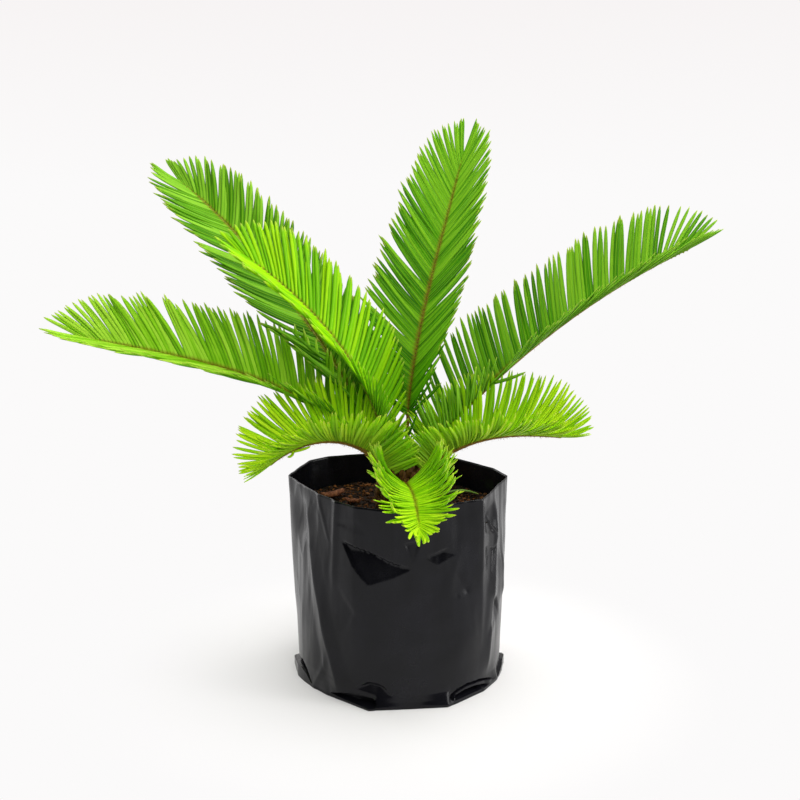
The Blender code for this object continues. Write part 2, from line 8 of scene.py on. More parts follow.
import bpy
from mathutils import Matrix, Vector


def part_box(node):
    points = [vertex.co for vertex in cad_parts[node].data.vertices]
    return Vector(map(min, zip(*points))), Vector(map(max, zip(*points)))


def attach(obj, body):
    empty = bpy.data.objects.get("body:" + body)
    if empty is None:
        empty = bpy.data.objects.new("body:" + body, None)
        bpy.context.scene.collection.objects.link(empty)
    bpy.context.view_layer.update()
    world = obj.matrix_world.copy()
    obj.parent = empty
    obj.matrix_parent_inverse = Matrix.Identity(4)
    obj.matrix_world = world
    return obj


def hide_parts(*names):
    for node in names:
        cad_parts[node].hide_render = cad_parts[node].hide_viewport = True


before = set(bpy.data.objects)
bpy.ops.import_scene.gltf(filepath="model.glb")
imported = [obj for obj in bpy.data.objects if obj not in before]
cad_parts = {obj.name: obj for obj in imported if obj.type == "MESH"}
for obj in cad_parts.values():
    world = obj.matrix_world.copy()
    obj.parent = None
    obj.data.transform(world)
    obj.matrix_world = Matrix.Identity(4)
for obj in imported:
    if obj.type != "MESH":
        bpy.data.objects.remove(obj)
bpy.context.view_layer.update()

# %% [markdown]
# ## The studio
# The plant stands on a pale floor in front of a white backdrop, and the camera looks
# slightly down on it. A constraint could aim it, but typed numbers keep the view fixed.

# %% Camera
import random
from collections import namedtuple
from math import cos, degrees, hypot, pi, radians, sin, sqrt, tau

import bmesh
import bpy
from mathutils import Matrix, Vector, noise
from mathutils.kdtree import KDTree

CAMERA_PLACE = (0.0008, -1.006, 0.4535)
CAMERA_DOWN = 10.95  # degrees below level
scene = bpy.context.scene
lens = bpy.data.cameras.new("studio_camera")
lens.lens = 50
lens.sensor_width = 36


def new_object(name, data):
    made = bpy.data.objects.new(name, data)
    scene.collection.objects.link(made)
    return made


camera = new_object("studio_camera", lens)
camera.location = CAMERA_PLACE
camera.rotation_euler = (radians(90 - CAMERA_DOWN), 0, 0)
scene.camera = camera
print("camera at", CAMERA_PLACE, "tilted down", CAMERA_DOWN)

# %% [markdown]
# ## Colours and nodes
# Colours are written as sRGB hex values, as a paint chart gives them. Blender's shaders
# work in linear light, so one function converts them. Another small function adds any
# shader node, sets its values and links its inputs, which keeps each material readable.
# Patterns read Object coordinates, in metres, so their scales come from real sizes.

# %% Colour and node helpers
scene.view_settings.view_transform = "Standard"  # keeps the bright studio greens as they are


def linear(hex_colour):
    """An sRGB hex colour as linear red, green, blue and alpha."""
    channels = [int(hex_colour[k : k + 2], 16) / 255 for k in (1, 3, 5)]
    return (*[c / 12.92 if c <= 0.04045 else ((c + 0.055) / 1.055) ** 2.4 for c in channels], 1.0)


def feed(tree, node, inputs):
    """Gives each input of a node a value, an output that feeds it, or a node for its first output."""
    for name, value in inputs.items():
        if isinstance(value, bpy.types.Node):
            value = value.outputs[0]
        if isinstance(value, bpy.types.NodeSocket):
            tree.links.new(value, node.inputs[name])
        else:
            node.inputs[name].default_value = value


def add_node(tree, kind, inputs=None, stops=None, **settings):
    """Adds a shader node with its inputs, a colour ramp's stops and its settings."""
    node = tree.nodes.new("ShaderNode" + kind)
    for name, value in settings.items():
        setattr(node, name, value)
    feed(tree, node, inputs or {})
    for k, (place, hex_colour) in enumerate(stops or ()):
        marks = node.color_ramp.elements
        mark = marks[k] if k < 2 else marks.new(place)
        mark.position = place
        mark.color = linear(hex_colour)
    return node


def new_material(name, **settings):
    """A Principled material with plain numbers on the shader, and where its pattern is."""
    made = bpy.data.materials.new(name)
    made.use_nodes = True
    tree = made.node_tree
    shader = tree.nodes["Principled BSDF"]
    feed(tree, shader, {socket.replace("_", " "): value for socket, value in settings.items()})
    return made, tree, shader, add_node(tree, "TexCoord").outputs["Object"]


print("paper white in linear light:", [round(c, 3) for c in linear("#fbfafa")])

# %% [markdown]
# ## Light
# A product studio is mostly white: the floor, the backdrop and large soft lamps. The space
# behind the camera is dark, and the glossy film shows it as its black front. Light rays that
# come from a mirror-like bounce get a darker room than the others, as black flags beside a
# real camera give. Two narrow lamps at the sides draw the bright lines on the creases.

# %% World and lamps
world = bpy.data.worlds.new("white_studio")
world.use_nodes = True
scene.world = world
sky = world.node_tree
sky.nodes.clear()
ROOM_FRONT, ROOM_BACK = -0.9, 0.25  # how far back a direction points where the room is dark and white
way = add_node(sky, "SeparateXYZ", {"Vector": add_node(sky, "TexCoord").outputs["Object"]})
depth = add_node(
    sky, "MapRange", {"Value": way.outputs["Y"], "From Min": ROOM_FRONT, "From Max": ROOM_BACK},
    interpolation_type="SMOOTHSTEP",
)
# each room's direction, strength and colours: soft light, the film's mirror, the camera's view
ROOMS = (
    (depth, 1.05, ((0.0, "#8e8e90"), (1.0, "#fbfaf9"))),
    (depth, 1.0, ((0.0, "#08080a"), (1.0, "#e8e6e4"), (0.45, "#242426"))),
    (way.outputs["Z"], 1.0, ((0.0, "#fbfafa"), (0.22, "#f5f1f1"), (0.08, "#f9f7f7"))),
)
rooms = []
for direction, strength, stops in ROOMS:
    tint = add_node(sky, "ValToRGB", {"Fac": direction}, stops=stops)
    rooms.append(add_node(sky, "Background", {"Color": tint, "Strength": strength}))
rays = add_node(sky, "LightPath").outputs
seen = rooms[0]
for ray, room in (("Is Glossy Ray", rooms[1]), ("Is Camera Ray", rooms[2])):
    seen = add_node(sky, "MixShader", {0: rays[ray], 1: seen, 2: room})
add_node(sky, "OutputWorld", {"Surface": seen})

Lamp = namedtuple("Lamp", "name place target wide high watts mirrored")
LAMPS = (
    Lamp("top_softbox", (0.45, 0.15, 1.45), (0.0, 0.0, 0.2), 1.1, 1.1, 12.0, False),
    Lamp("front_softbox", (0.3, -1.5, 1.25), (0.0, 0.0, 0.25), 1.0, 0.9, 9.0, False),
    Lamp("left_strip", (-1.05, 0.75, 0.6), (0.0, 0.0, 0.15), 0.35, 1.2, 3.6, True),
    Lamp("right_strip", (1.3, -0.4, 0.65), (0.0, 0.0, 0.15), 0.35, 1.2, 9.0, True),
)
for lamp in LAMPS:
    glow_panel = bpy.data.lights.new(lamp.name, "AREA")
    glow_panel.shape = "RECTANGLE"
    glow_panel.size, glow_panel.size_y = lamp.wide, lamp.high
    glow_panel.energy = lamp.watts
    softbox = new_object(lamp.name, glow_panel)
    aim = Vector(lamp.target) - Vector(lamp.place)
    softbox.location = lamp.place
    softbox.rotation_euler = aim.to_track_quat("-Z", "Y").to_euler()
    softbox.visible_camera = False
    softbox.visible_glossy = lamp.mirrored
print("lamps:", [lamp.name for lamp in LAMPS])

# %% [markdown]
# ## The floor
# The floor is a wide disc of matt white paper. Far from the plant it fades into the
# backdrop's own white, so no horizon shows, as where studio paper curves up a wall. The
# fade is a glow that starts a few centimetres from the plant, so it also paints light over
# the plant's cast shadow on the paper.

# %% Floor
FLOOR_RADIUS = 9.0
FLOOR_GAP = 0.0002  # the paper lies this much lower, so that it doesn't share the bag's base plane
PAPER_NEAR, PAPER_FAR = 0.02, 0.31  # the paper fades into the backdrop between these; the glow starts close to the bag, so it also paints light over the bag's shadow
paper, tree, shader, place = new_material(
    "matt_white_paper", Base_Color=linear("#edebea"), Roughness=0.75, IOR=1.45
)
away = add_node(tree, "VectorMath", {0: place}, operation="LENGTH")
far = add_node(
    tree, "MapRange", {"Value": away.outputs["Value"], "From Min": PAPER_NEAR, "From Max": PAPER_FAR},
    interpolation_type="SMOOTHSTEP",
)
# the glow that the paper fades into, which also lightens the plant's cast shadow near the bag
white = add_node(tree, "Emission", {"Color": linear("#fbfafa"), "Strength": 1.0})
blend = add_node(tree, "MixShader", {"Fac": far, 1: shader, 2: white})
feed(tree, tree.nodes["Material Output"], {"Surface": blend})


def mesh_of(bm, name):
    """Makes a mesh of a finished bmesh, and frees it."""
    mesh = bpy.data.meshes.new(name)
    bm.to_mesh(mesh)
    bm.free()
    return mesh


bm = bmesh.new()
bmesh.ops.create_circle(bm, segments=64, radius=FLOOR_RADIUS, cap_ends=True)
bmesh.ops.translate(bm, verts=bm.verts, vec=(0, 0, -FLOOR_GAP))
floor_mesh = mesh_of(bm, "studio_floor")
floor_mesh.materials.append(paper)
floor = new_object("studio_floor", floor_mesh)
print("floor radius:", FLOOR_RADIUS)

# %% [markdown]
# ## Fronds
# A sago frond is a stiff stalk with a groove above and a keel below. Two rows of narrow
# leaflets stand on it in a V. The stalk leaves the stem steeply and arches over. Each stalk
# here repeats the CAD's length, azimuth and elevation at foot, middle and tip, so the finer
# frond stands in the same place. Its leaflets are many more than the CAD's, so their sweep,
# reach and width are set for this scene. Angles are in degrees.

# %% The frond table
Frond = namedtuple(
    "Frond",
    "node length azimuth lift foot thick rows fold blade reach sweep ends "
    "pairs width curl hook clump wool leaf",
)
FRONDS = [Frond(*row) for row in (
    ("frond_left_low", 0.138, 199, (74, 9, -40), (217, 0.017, 0.1844), 0.0033, (30, 68), 0.64, 0.063,
     (0.95, 1.0), (80, 44), (0.62, 0.66), 74, 0.004, -4, 18, 0.8, 1100, "lime"),
    ("frond_right_low", 0.144, -8, (56, 14, -5), (-14, 0.018, 0.1871), 0.003, (70, 30), 0.62, 0.062,
     (0.94, 1.02), (78, 34), (0.68, 0.7), 70, 0.0036, -14, 20, 0.6, 1000, "lime"),
    ("frond_front", 0.145, -85, (11, 1, -33), (-86, 0.018, 0.1837), 0.0022, (62, 54), 0.85, 0.066,
     (1.0, 1.02), (56, 44), (1.0, 0.36), 70, 0.004, 12, 24, 0.7, 420, "lime"),
    ("frond_left_upper", 0.253, 192, (81, 54, 34), (195, 0.0119, 0.1981), 0.0019, (12, 104), 0.62, 0.067,
     (0.96, 1.0), (58, 38), (0.42, 0.6), 54, 0.0052, 8, 4, 0.4, 200, "bright"),
    ("frond_left", 0.331, 177, (57, 18, 13), (182, 0.0167, 0.1898), 0.0022, (30, 87), 0.62, 0.07,
     (1.0, 1.0), (62, 46), (0.36, 0.74), 84, 0.0043, 8, 4, 0.5, 260, "pale"),
    ("frond_right", 0.333, 5, (51, 38, 24), (4, 0.012, 0.198), 0.002, (72, 30), 0.62, 0.07,
     (0.9, 1.0), (70, 54), (1.0, 0.82), 76, 0.0046, 4, 4, 0.8, 240, "dark"),
    ("frond_upright", 0.319, 62, (90, 62, 63), (64, 0.0061, 0.2021), 0.0019, (68, 66), 0.62, 0.073,
     (0.91, 0.99), (62, 36), (0.86, 0.8), 92, 0.0039, 6, 2, 0.9, 220, "deep"),
    ("frond_back_left", 0.363, 154, (57, 49, 32), (150, 0.0119, 0.1982), 0.0021, (30, 104), 0.62, 0.07,
     (0.93, 1.08), (60, 42), (0.44, 0.66), 82, 0.0045, 8, 4, 0.6, 160, "mid"),
)]
CROWN = Vector((0.004, 0.0, 0.0))  # the stem's axis
UP = Vector((0, 0, 1))
print("fronds:", len(FRONDS), "leaflets:", 2 * sum(frond.pairs for frond in FRONDS))

# %% [markdown]
# The middle line of a stalk is found by walking along it in small steps, each in the
# direction of the stalk's elevation there. Curve objects could draw it too, but a list of
# points also tells where each leaflet starts and which way its row leans.

# %% Stalk lines
SPINE_STEPS = 160
UNFOLDED = 0.45  # the rows open out from their fold at the foot to this share of the stalk


def clamp(value, low=0.0, high=1.0):
    return min(max(value, low), high)


def ease(value, start=0.0, end=1.0):
    """A smooth rise from 0 to 1 between two values."""
    share = clamp((value - start) / (end - start))
    return share * share * (3 - 2 * share)


def polar(radius, angle, height=0.0):
    """A point by its distance from an upright axis, its angle and its height."""
    return Vector((radius * cos(angle), radius * sin(angle), height))


def axes_at(frond, u):
    """Unit directions along the stalk, to its right and square above it."""
    foot, middle, tip = frond.lift
    lift = radians(foot * (1 - u) * (1 - 2 * u) + middle * 4 * u * (1 - u) + tip * u * (2 * u - 1))
    azimuth = radians(frond.azimuth)
    along = Vector((cos(lift) * cos(azimuth), cos(lift) * sin(azimuth), sin(lift)))
    right = Vector((sin(azimuth), -cos(azimuth), 0.0))
    return along, right, right.cross(along)


def spine_of(frond):
    """Points along the middle of a stalk, from its foot to its tip."""
    azimuth, radius, height = frond.foot
    points = [CROWN + polar(radius, radians(azimuth), height)]
    for k in range(SPINE_STEPS):
        step = axes_at(frond, (k + 0.5) / SPINE_STEPS)[0] * frond.length / SPINE_STEPS
        points.append(points[-1] + step)
    return points


def on_spine(spine, u):
    """The point at a share of the stalk's length."""
    place = min(u, 1.0) * SPINE_STEPS
    low = min(int(place), SPINE_STEPS - 1)
    return spine[low].lerp(spine[low + 1], place - low)


def row_axes(frond, side, u, extra=0.0):
    """Where a row points across the stalk, and the direction square to it. side is 1 right, -1 left."""
    _, right, above = axes_at(frond, u)
    full = frond.rows[0] if side > 0 else frond.rows[1]
    angle = radians(full * (frond.fold + (1 - frond.fold) * ease(u, 0, UNFOLDED)) + extra)
    row = above * cos(angle) + right * side * sin(angle)
    return row, above * sin(angle) - right * side * cos(angle)


spines = {frond.node: spine_of(frond) for frond in FRONDS}
for frond in FRONDS:
    print(frond.node, "tip at", [round(c, 3) for c in spines[frond.node][-1]])

# %% [markdown]
# ## One leaflet
# A leaflet is a stiff narrow blade with rolled edges, a sunk midrib above and a ridge below.
# Its foot runs down into the stalk, it keeps its width for most of its length, and it ends
# in a sharp point. It is drawn once as a ring of six points that is extruded through eight
# stations, then copied and bent about twelve hundred times, so it has under sixty faces.
# Values on its vertices say how far along and across each one is, for the material to read.

# %% Leaflet template
RING = ((-0.5, -0.3), (-0.27, 0.42), (0.0, 0.1), (0.27, 0.42), (0.5, -0.3), (0.0, -0.52))
# share of the length, share of the full width, share of the full thickness
STATIONS = (
    (0.0, 1.25, 1.4), (0.04, 1.1, 1.25), (0.11, 0.98, 1.0), (0.3, 1.0, 1.0), (0.52, 1.0, 0.95),
    (0.74, 0.94, 0.85), (0.89, 0.7, 0.65), (0.965, 0.36, 0.45),
)
PLACES = [station[0] for station in STATIONS] + [1.0]  # the stations and the point
SHADES = ("along", "across", "under", "shade")  # values that each vertex carries


def draw_out(bm, rings, point):
    """A closed skin through rings of points, with a fan of faces to a point at its end."""
    verts = bmesh.ops.create_circle(bm, segments=len(rings[0]), radius=1.0, cap_ends=True)["verts"]
    edges = list(dict.fromkeys(edge for vert in verts for edge in vert.link_edges))
    for step, ring in enumerate(rings):
        if step:
            grown = bmesh.ops.extrude_edge_only(bm, edges=edges)["geom"]
            fresh = {part for part in grown if isinstance(part, bmesh.types.BMVert)}
            edges = [part for part in grown if isinstance(part, bmesh.types.BMEdge)]
            edges = [edge for edge in edges if fresh.issuperset(edge.verts)]
            verts = [
                next(edge.other_vert(old) for edge in old.link_edges if edge.other_vert(old) in fresh)
                for old in verts
            ]
        for vert, place in zip(verts, ring):
            vert.co = place
    cap = bmesh.ops.contextual_create(bm, geom=verts)["faces"][0]
    bmesh.ops.poke(bm, faces=[cap])["verts"][0].co = point


bm = bmesh.new()
rings = [[(s, y * wide, z * thick) for y, z in RING] for s, wide, thick in STATIONS]
draw_out(bm, rings, (1.0, 0.0, -0.05))
bmesh.ops.recalc_face_normals(bm, faces=bm.faces)
layers = {name: bm.verts.layers.float.new(name) for name in SHADES}
for vert in bm.verts:
    vert[layers["along"]] = vert.co.x
    vert[layers["across"]] = vert.co.y
    vert[layers["under"]] = 1.0 if vert.co.z < -0.2 else 0.0
for face in bm.faces:
    face.smooth = True
leaflet = mesh_of(bm, "leaflet_template")
print("leaflet template faces:", len(leaflet.polygons))

# %% [markdown]
# A copied leaflet is bent by carrying each of its rings to a frame on a curved line. The
# line starts across the stalk at the sweep angle, leans towards the frond's tip by the curl
# and lifts out of its row by the hook. A small twist about its own line makes neighbours
# overlap like slats, and gives each one its own shade of light.

# %% Bending a leaflet
LEAFLET_THICK = 0.0015  # from its rolled edges to the top of its shoulders


def bent_frames(root, along, row, square, sweep, curl, hook, twist, length):
    """For each station of a leaflet, its centre and its directions across and above."""
    frames = {}
    centre, before = root.copy(), 0.0
    for s in PLACES:
        turn = sweep - curl * s
        flat = row * sin(turn) + along * cos(turn)
        rise = hook * s * s
        forward = flat * cos(rise) + square * sin(rise)
        centre = centre + forward * length * (s - before)
        across = (along * sin(turn) - row * cos(turn)).normalized()
        above = forward.cross(across)
        if above.dot(square) < 0:
            above.negate()
        tilt = Matrix.Rotation(twist, 3, forward)
        frames[round(s * 1000)] = (centre.copy(), tilt @ across, tilt @ above)
        before = s
    return frames


def add_copy(bm, template):
    """Adds a copy of a template mesh, and returns its vertices."""
    first = len(bm.verts)
    bm.from_mesh(template)
    bm.verts.ensure_lookup_table()
    return bm.verts[first:]


def add_leaflet(bm, frames, width, shade, thick=LEAFLET_THICK):
    """Adds a leaflet whose rings stand in the given frames."""
    shade_layer = bm.verts.layers.float["shade"]
    for vert in add_copy(bm, leaflet):
        centre, across, above = frames[round(vert.co.x * 1000)]
        vert.co = centre + across * (vert.co.y * width) + above * (vert.co.z * thick)
        vert[shade_layer] = shade


print("a full leaflet bends at", len(STATIONS), "stations")

# %% [markdown]
# ## Where leaflets go
# Leaflets are longest in the middle of a frond and shorter at both ends. They don't stand
# like a comb: neighbours lean together in clumps of three to seven, with a clear gap before
# the next clump. Where another frond is in the way, a leaflet is lifted over it or cut
# short, in the same order as in the CAD, from the front frond to the back.

# %% Leaflet plan
BARE_SHARE, TOP_SHARE = 0.035, 0.965  # the first and last leaflets' places on the stalk
GROWN, FALLING, TIP = 0.28, 0.7, 0.9  # shares of a row where leaflets gain and lose length
TIP_LOSS = 0.24  # how much more of their length the last leaflets lose
LAST_TURN, LAST_FROM = 0.6, 0.87  # how much the last leaflets turn towards the tip, and from where
SLAT_TWIST = 14  # degrees that leaflets lean over each other
ROOT_OUT = 0.35  # of the stalk's half width
CLEARANCE = 0.0035  # between the middle lines of leaflets on two fronds
# rows painted paler: a painted highlight over a whole row where the light falls on it
PAINTED_SUN_ROWS = {("frond_right", 1): 0.75, ("frond_left_upper", -1): 0.15}
TIP_PALENESS = 0.3  # leaflets are paler towards a frond's tip
LIFT_STEPS = (0, 6, -6, 12, -12)  # degrees that a leaflet may be lifted over the one before it
MOST_LIFT = 24
LIFT_COST = 0.0004  # length that a leaflet would give up to be lifted one degree less
SHORTEST = 0.01  # a leaflet that would be shorter is left out
SEED = 11
rng = random.Random(SEED)


def leaflet_length(frond, v):
    """A leaflet's length at a share of its row. It falls off at both ends of the frond."""
    first, last = frond.ends
    rise = first + (1 - first) * ease(v, 0, GROWN)
    fall = 1 - (1 - last) * ease(v, FALLING)
    return frond.blade * rise * fall * (1 - TIP_LOSS * ease(v, TIP))


def clump_leans(frond):
    """Degrees that each leaflet leans towards the middle of its clump."""
    leans = []
    while len(leans) < frond.pairs:
        size = rng.choice((3, 4, 4, 5, 5, 6, 7))
        pull = frond.clump * rng.uniform(0.6, 1.3)
        leans += [pull * (k - (size - 1) / 2) for k in range(size)]
    return leans[: frond.pairs]


def clear_share(taken, frames):
    """The share of a leaflet's line that keeps clear of the stem and of the other fronds."""
    places = sorted(frames)
    for k in places[2:]:
        if taken.find(frames[k][0])[2] < CLEARANCE:
            return max(places[places.index(k) - 1], 1) / 1000
    return 1.0


# limp leaflets that curl below their row: frond, side, place on the stalk, degrees out of
# the row, sweep, curl, length
LIMP_WIDTH, LIMP_HOOK, LIMP_SHADE = 0.0026, 0.6, 0.9
LIMP = (
    ("frond_left_low", -1, 0.8, 80, 95, 110, 0.011),
    ("frond_left_low", -1, 0.83, 95, 150, -25, 0.021),
    ("frond_front", 1, 0.92, 15, 105, 50, 0.019),
    ("frond_front", -1, 0.92, 15, 105, 50, 0.019),
)


def limp_leaflets(frond, side, spine):
    """Frames, width and shade of the limp leaflets in one row."""
    hanging = []
    for node, limp_side, u, out, sweep, curl, length in LIMP:
        if (node, limp_side) == (frond.node, side):
            root, along, row = on_spine(spine, u), axes_at(frond, u)[0], row_axes(frond, side, u, out)
            frames = bent_frames(root, along, *row, radians(sweep), radians(curl), LIMP_HOOK, 0.0, length)
            hanging.append((frames, LIMP_WIDTH, LIMP_SHADE))
    return hanging


def plan_side(frond, side, spine, taken):
    """Frames, width and shade of every leaflet in one row."""
    planned, lift, leans = [], 0, clump_leans(frond)
    for step, lean in enumerate(leans):
        v = (step + 0.5) / frond.pairs
        u = BARE_SHARE + (TOP_SHARE - BARE_SHARE) * v
        along = axes_at(frond, u)[0]
        first, last = frond.sweep
        sweep = first + (last - first) * v**1.3 + lean + rng.uniform(-1.2, 1.2)
        sweep = radians(sweep * (1 - LAST_TURN * ease(v, LAST_FROM)))
        reach = frond.reach[0] if side > 0 else frond.reach[1]
        length = leaflet_length(frond, v) * reach * rng.uniform(0.95, 1.04)
        curl = radians(frond.curl * rng.uniform(0.5, 1.5))
        hook = radians(frond.hook * rng.uniform(0.3, 1.7))
        twist = radians(side * SLAT_TWIST + rng.uniform(-9, 9))
        jitter = rng.uniform(-2.0, 2.0)
        root = on_spine(spine, u) + row_axes(frond, side, u)[0] * half_width(frond, u) * ROOT_OUT
        tries = []
        for change in LIFT_STEPS:
            tried = clamp(lift + change, -MOST_LIFT, MOST_LIFT)
            row = row_axes(frond, side, u, jitter - tried)
            frames = bent_frames(root, along, *row, sweep, curl, hook, twist, length)
            kept = clear_share(taken, frames)
            worth = kept * length - LIFT_COST * (abs(tried) + abs(change) / 2)
            tries.append((worth, kept, tried, row))
        _, kept, lift, row = max(tries, key=lambda one: one[0])
        if kept * length < SHORTEST:
            continue
        frames = bent_frames(root, along, *row, sweep, curl, hook, twist, kept * length)
        slim = (0.72 + 0.28 * ease(v, 0, 0.25)) * (1 - 0.16 * ease(v, FALLING))
        # a row in full light is painted paler: painted light added to its leaflets' shade
        painted_sun = PAINTED_SUN_ROWS.get((frond.node, side), 0.0)
        shade = min(rng.random() + painted_sun + TIP_PALENESS * ease(v, 0.4, 0.9), 1.0)
        planned.append((frames, frond.width * slim * rng.uniform(0.92, 1.08), shade))
    return planned + limp_leaflets(frond, side, spine)


def half_width(frond, u):
    """Half the stalk's width, which tapers towards its tip."""
    return frond.thick * (1 - 0.62 * u)


print("clumps on the left frond:", [round(lean, 1) for lean in clump_leans(FRONDS[4])[:12]])

# %% [markdown]
# ## The stalk
# The stalk is drawn like the leaflet: one section of twelve points, grooved above and
# keeled below, extruded along the middle line and closed to a point at its tip. Brown wool
# clings to young stalks. Each hair is a three-sided needle, which is enough at its size.

# %% Stalk and wool
STALK_RING = (
    (0.0, 0.3), (0.4, 0.62), (0.78, 0.55), (1.0, 0.12), (0.9, -0.42), (0.52, -0.92), (0.0, -1.18),
    (-0.52, -0.92), (-0.9, -0.42), (-1.0, 0.12), (-0.78, 0.55), (-0.4, 0.62),
)
STALK_STATIONS = 52
STALK_END = 0.97
FOOT_DEPTH = 0.008  # how far a stalk is set into the stem
HAIR_WIDTH = 0.00034  # wool is finer than this, but thinner needles would not show
bm = bmesh.new()
bmesh.ops.create_cone(bm, segments=3, radius1=0.5, radius2=0.0, depth=1.0, cap_ends=True)
bmesh.ops.translate(bm, verts=bm.verts, vec=(0, 0, 0.5))
hair = mesh_of(bm, "hair_template")


def stalk_rings(frond, spine):
    """Rings of points round the stalk. The first is set into the stem."""
    rings = []
    for k in range(-1, STALK_STATIONS + 1):
        u = max(k, 0) / STALK_STATIONS * STALK_END
        along, right, above = axes_at(frond, u)
        centre = on_spine(spine, u) - along * (FOOT_DEPTH if k < 0 else 0)
        half = half_width(frond, u) * (1 + 0.05 * sin(2.1 * k) * (k > 0))
        rings.append([centre + (right * x + above * y) * half for x, y in STALK_RING])
    return rings


def add_hair(bm, foot, way, length):
    """A needle from a foot, along a direction."""
    turn = way.to_track_quat("Z", "Y").to_matrix()
    for vert in add_copy(bm, hair):
        x, y, z = vert.co
        vert.co = foot + turn @ Vector((x * HAIR_WIDTH, y * HAIR_WIDTH, z * length))


def add_stalk_wool(bm, frond, spine):
    """Hairs round the lower stalk, thinning towards its tip."""
    for _ in range(frond.wool):
        u = rng.random() ** 1.6 * 0.9
        along, right, above = axes_at(frond, u)
        turn = rng.uniform(0, tau)
        out = right * cos(turn) + above * sin(turn) * 1.1
        foot = on_spine(spine, u) + out * half_width(frond, u) * 0.8
        way = out + along * rng.uniform(-0.8, 1.6) + noise.random_unit_vector() * 0.2
        add_hair(bm, foot, way.normalized(), rng.uniform(0.0014, 0.004) * (1.2 - 0.5 * u))


print("stalk section points:", len(STALK_RING), "hair faces:", len(hair.polygons))

# %% [markdown]
# ## Leaf surface
# Sago leaflets are leathery and half glossy, with a waxy skin. The colour runs from a
# yellow-brown foot through green to a yellow point, with a paler underside and a paler
# midrib, whose light line is partly its own colour and partly a painted highlight. Young
# fronds are lime and old ones dark, but most of the difference between fronds is painted
# light and shade: fronds in more light get paler greens. Each blade's rolled edges are
# darker than its middle, partly their own colour and partly painted shade where they curl
# under. Fine veins run along the blade, drawn as a noise that is stretched along it. All
# of it reads the values on the vertices.

# %% Leaf materials
CLOUD_MM = 22  # how wide the paler and darker clouds on a frond are
VEIN_SCALE = (14.0, 3.0, 50.0)  # veins across a blade, changes along it, and from blade to blade
# for each frond, its dark, middle and pale green, and that of the rolled edges; the sets differ partly by
# the frond's age and mostly as painted light and shade, paler for fronds in more light
LEAF_GREENS = {
    "lime": ("#7ebe00", "#a4e000", "#c4f018", "#589800"),
    "bright": ("#5ea800", "#7cc600", "#9cd800", "#3e8200"),
    "pale": ("#62a800", "#86ca10", "#aae038", "#44860a"),
    "mid": ("#367600", "#529a00", "#84c42c", "#225400"),
    "dark": ("#2c7200", "#4a9400", "#7cba20", "#1c5000"),
    "deep": ("#2e7800", "#4c9a00", "#7cc01c", "#1c5600"),
}


def waxy_leaf(name, greens):
    """Leathery cycad leaf with a waxy skin: half gloss, fine lengthwise veins."""
    made, tree, shader, place = new_material(name, IOR=1.4, Specular_IOR_Level=0.12)
    carried = [add_node(tree, "Attribute", attribute_name=key).outputs["Fac"] for key in SHADES]
    along, across, under, shade = carried
    cloud = add_node(tree, "TexNoise", {"Vector": place, "Scale": 1000 / CLOUD_MM, "Detail": 2.0})
    tone = add_node(tree, "Math", {0: shade, 1: 0.85, 2: -0.12}, operation="MULTIPLY_ADD")
    mixed = add_node(tree, "Math", {0: cloud, 1: 0.36, 2: tone}, operation="MULTIPLY_ADD")
    deep, green, pale, edge = greens
    colour = add_node(
        tree, "ValToRGB", {"Fac": mixed}, stops=[(0.12, deep), (0.88, pale), (0.5, green)]
    )
    off = add_node(tree, "Math", {0: across}, operation="ABSOLUTE")
    # what each colour follows, from where to where, and how much of it shows there
    coats = (
        (off, 0.02, 0.12, 0.4, 0.0, "#a8cc3c"),  # the midrib: partly its own paler colour, partly a painted highlight
        (off, 0.26, 0.5, 0.0, 0.55, edge),  # the rolled edges, darker: partly their own colour, partly painted shade where they curl under
        (under, 0.0, 1.0, 0.0, 0.3, "#8fb448"),  # the underside
        (along, 0.02, 0.07, 0.75, 0.0, "#8c8420"),  # the foot
        (along, 0.9, 1.0, 0.0, 0.6, "#c9c65a"),  # the point
    )
    for follows, start, end, first, last, tint in coats:
        reach = {"Value": follows, "From Min": start, "From Max": end, "To Min": first, "To Max": last}
        share = add_node(tree, "MapRange", reach)
        coat = {0: share, 6: colour, 7: linear(tint)}
        colour = add_node(tree, "Mix", coat, data_type="RGBA").outputs[2]
    grain = add_node(tree, "CombineXYZ", {"X": across, "Y": along, "Z": shade})
    stretched = add_node(tree, "Mapping", {"Vector": grain, "Scale": VEIN_SCALE})
    veins = add_node(tree, "TexNoise", {"Vector": stretched, "Scale": 1.0, "Detail": 2.0})
    ridges = add_node(tree, "Bump", {"Height": veins, "Strength": 0.35, "Distance": 0.0003})
    gloss = add_node(tree, "MapRange", {"Value": cloud, "To Min": 0.4, "To Max": 0.58})
    feed(tree, shader, {"Base Color": colour, "Roughness": gloss, "Normal": ridges})
    return made


leaf_materials = {name: waxy_leaf(name + "_cycad_leaf", greens) for name, greens in LEAF_GREENS.items()}
print("leaf materials:", sorted(leaf_materials))

# %% [markdown]
# The stalk's skin is fibrous and olive to brown, and the wool on it is rust brown and
# quite matt. Both are plain noise materials: the grain's dark and light threads give the
# eye fibre, and its small bumps break up the light. On the wool, whose hairs are finer than
# any pattern, only the colour counts.

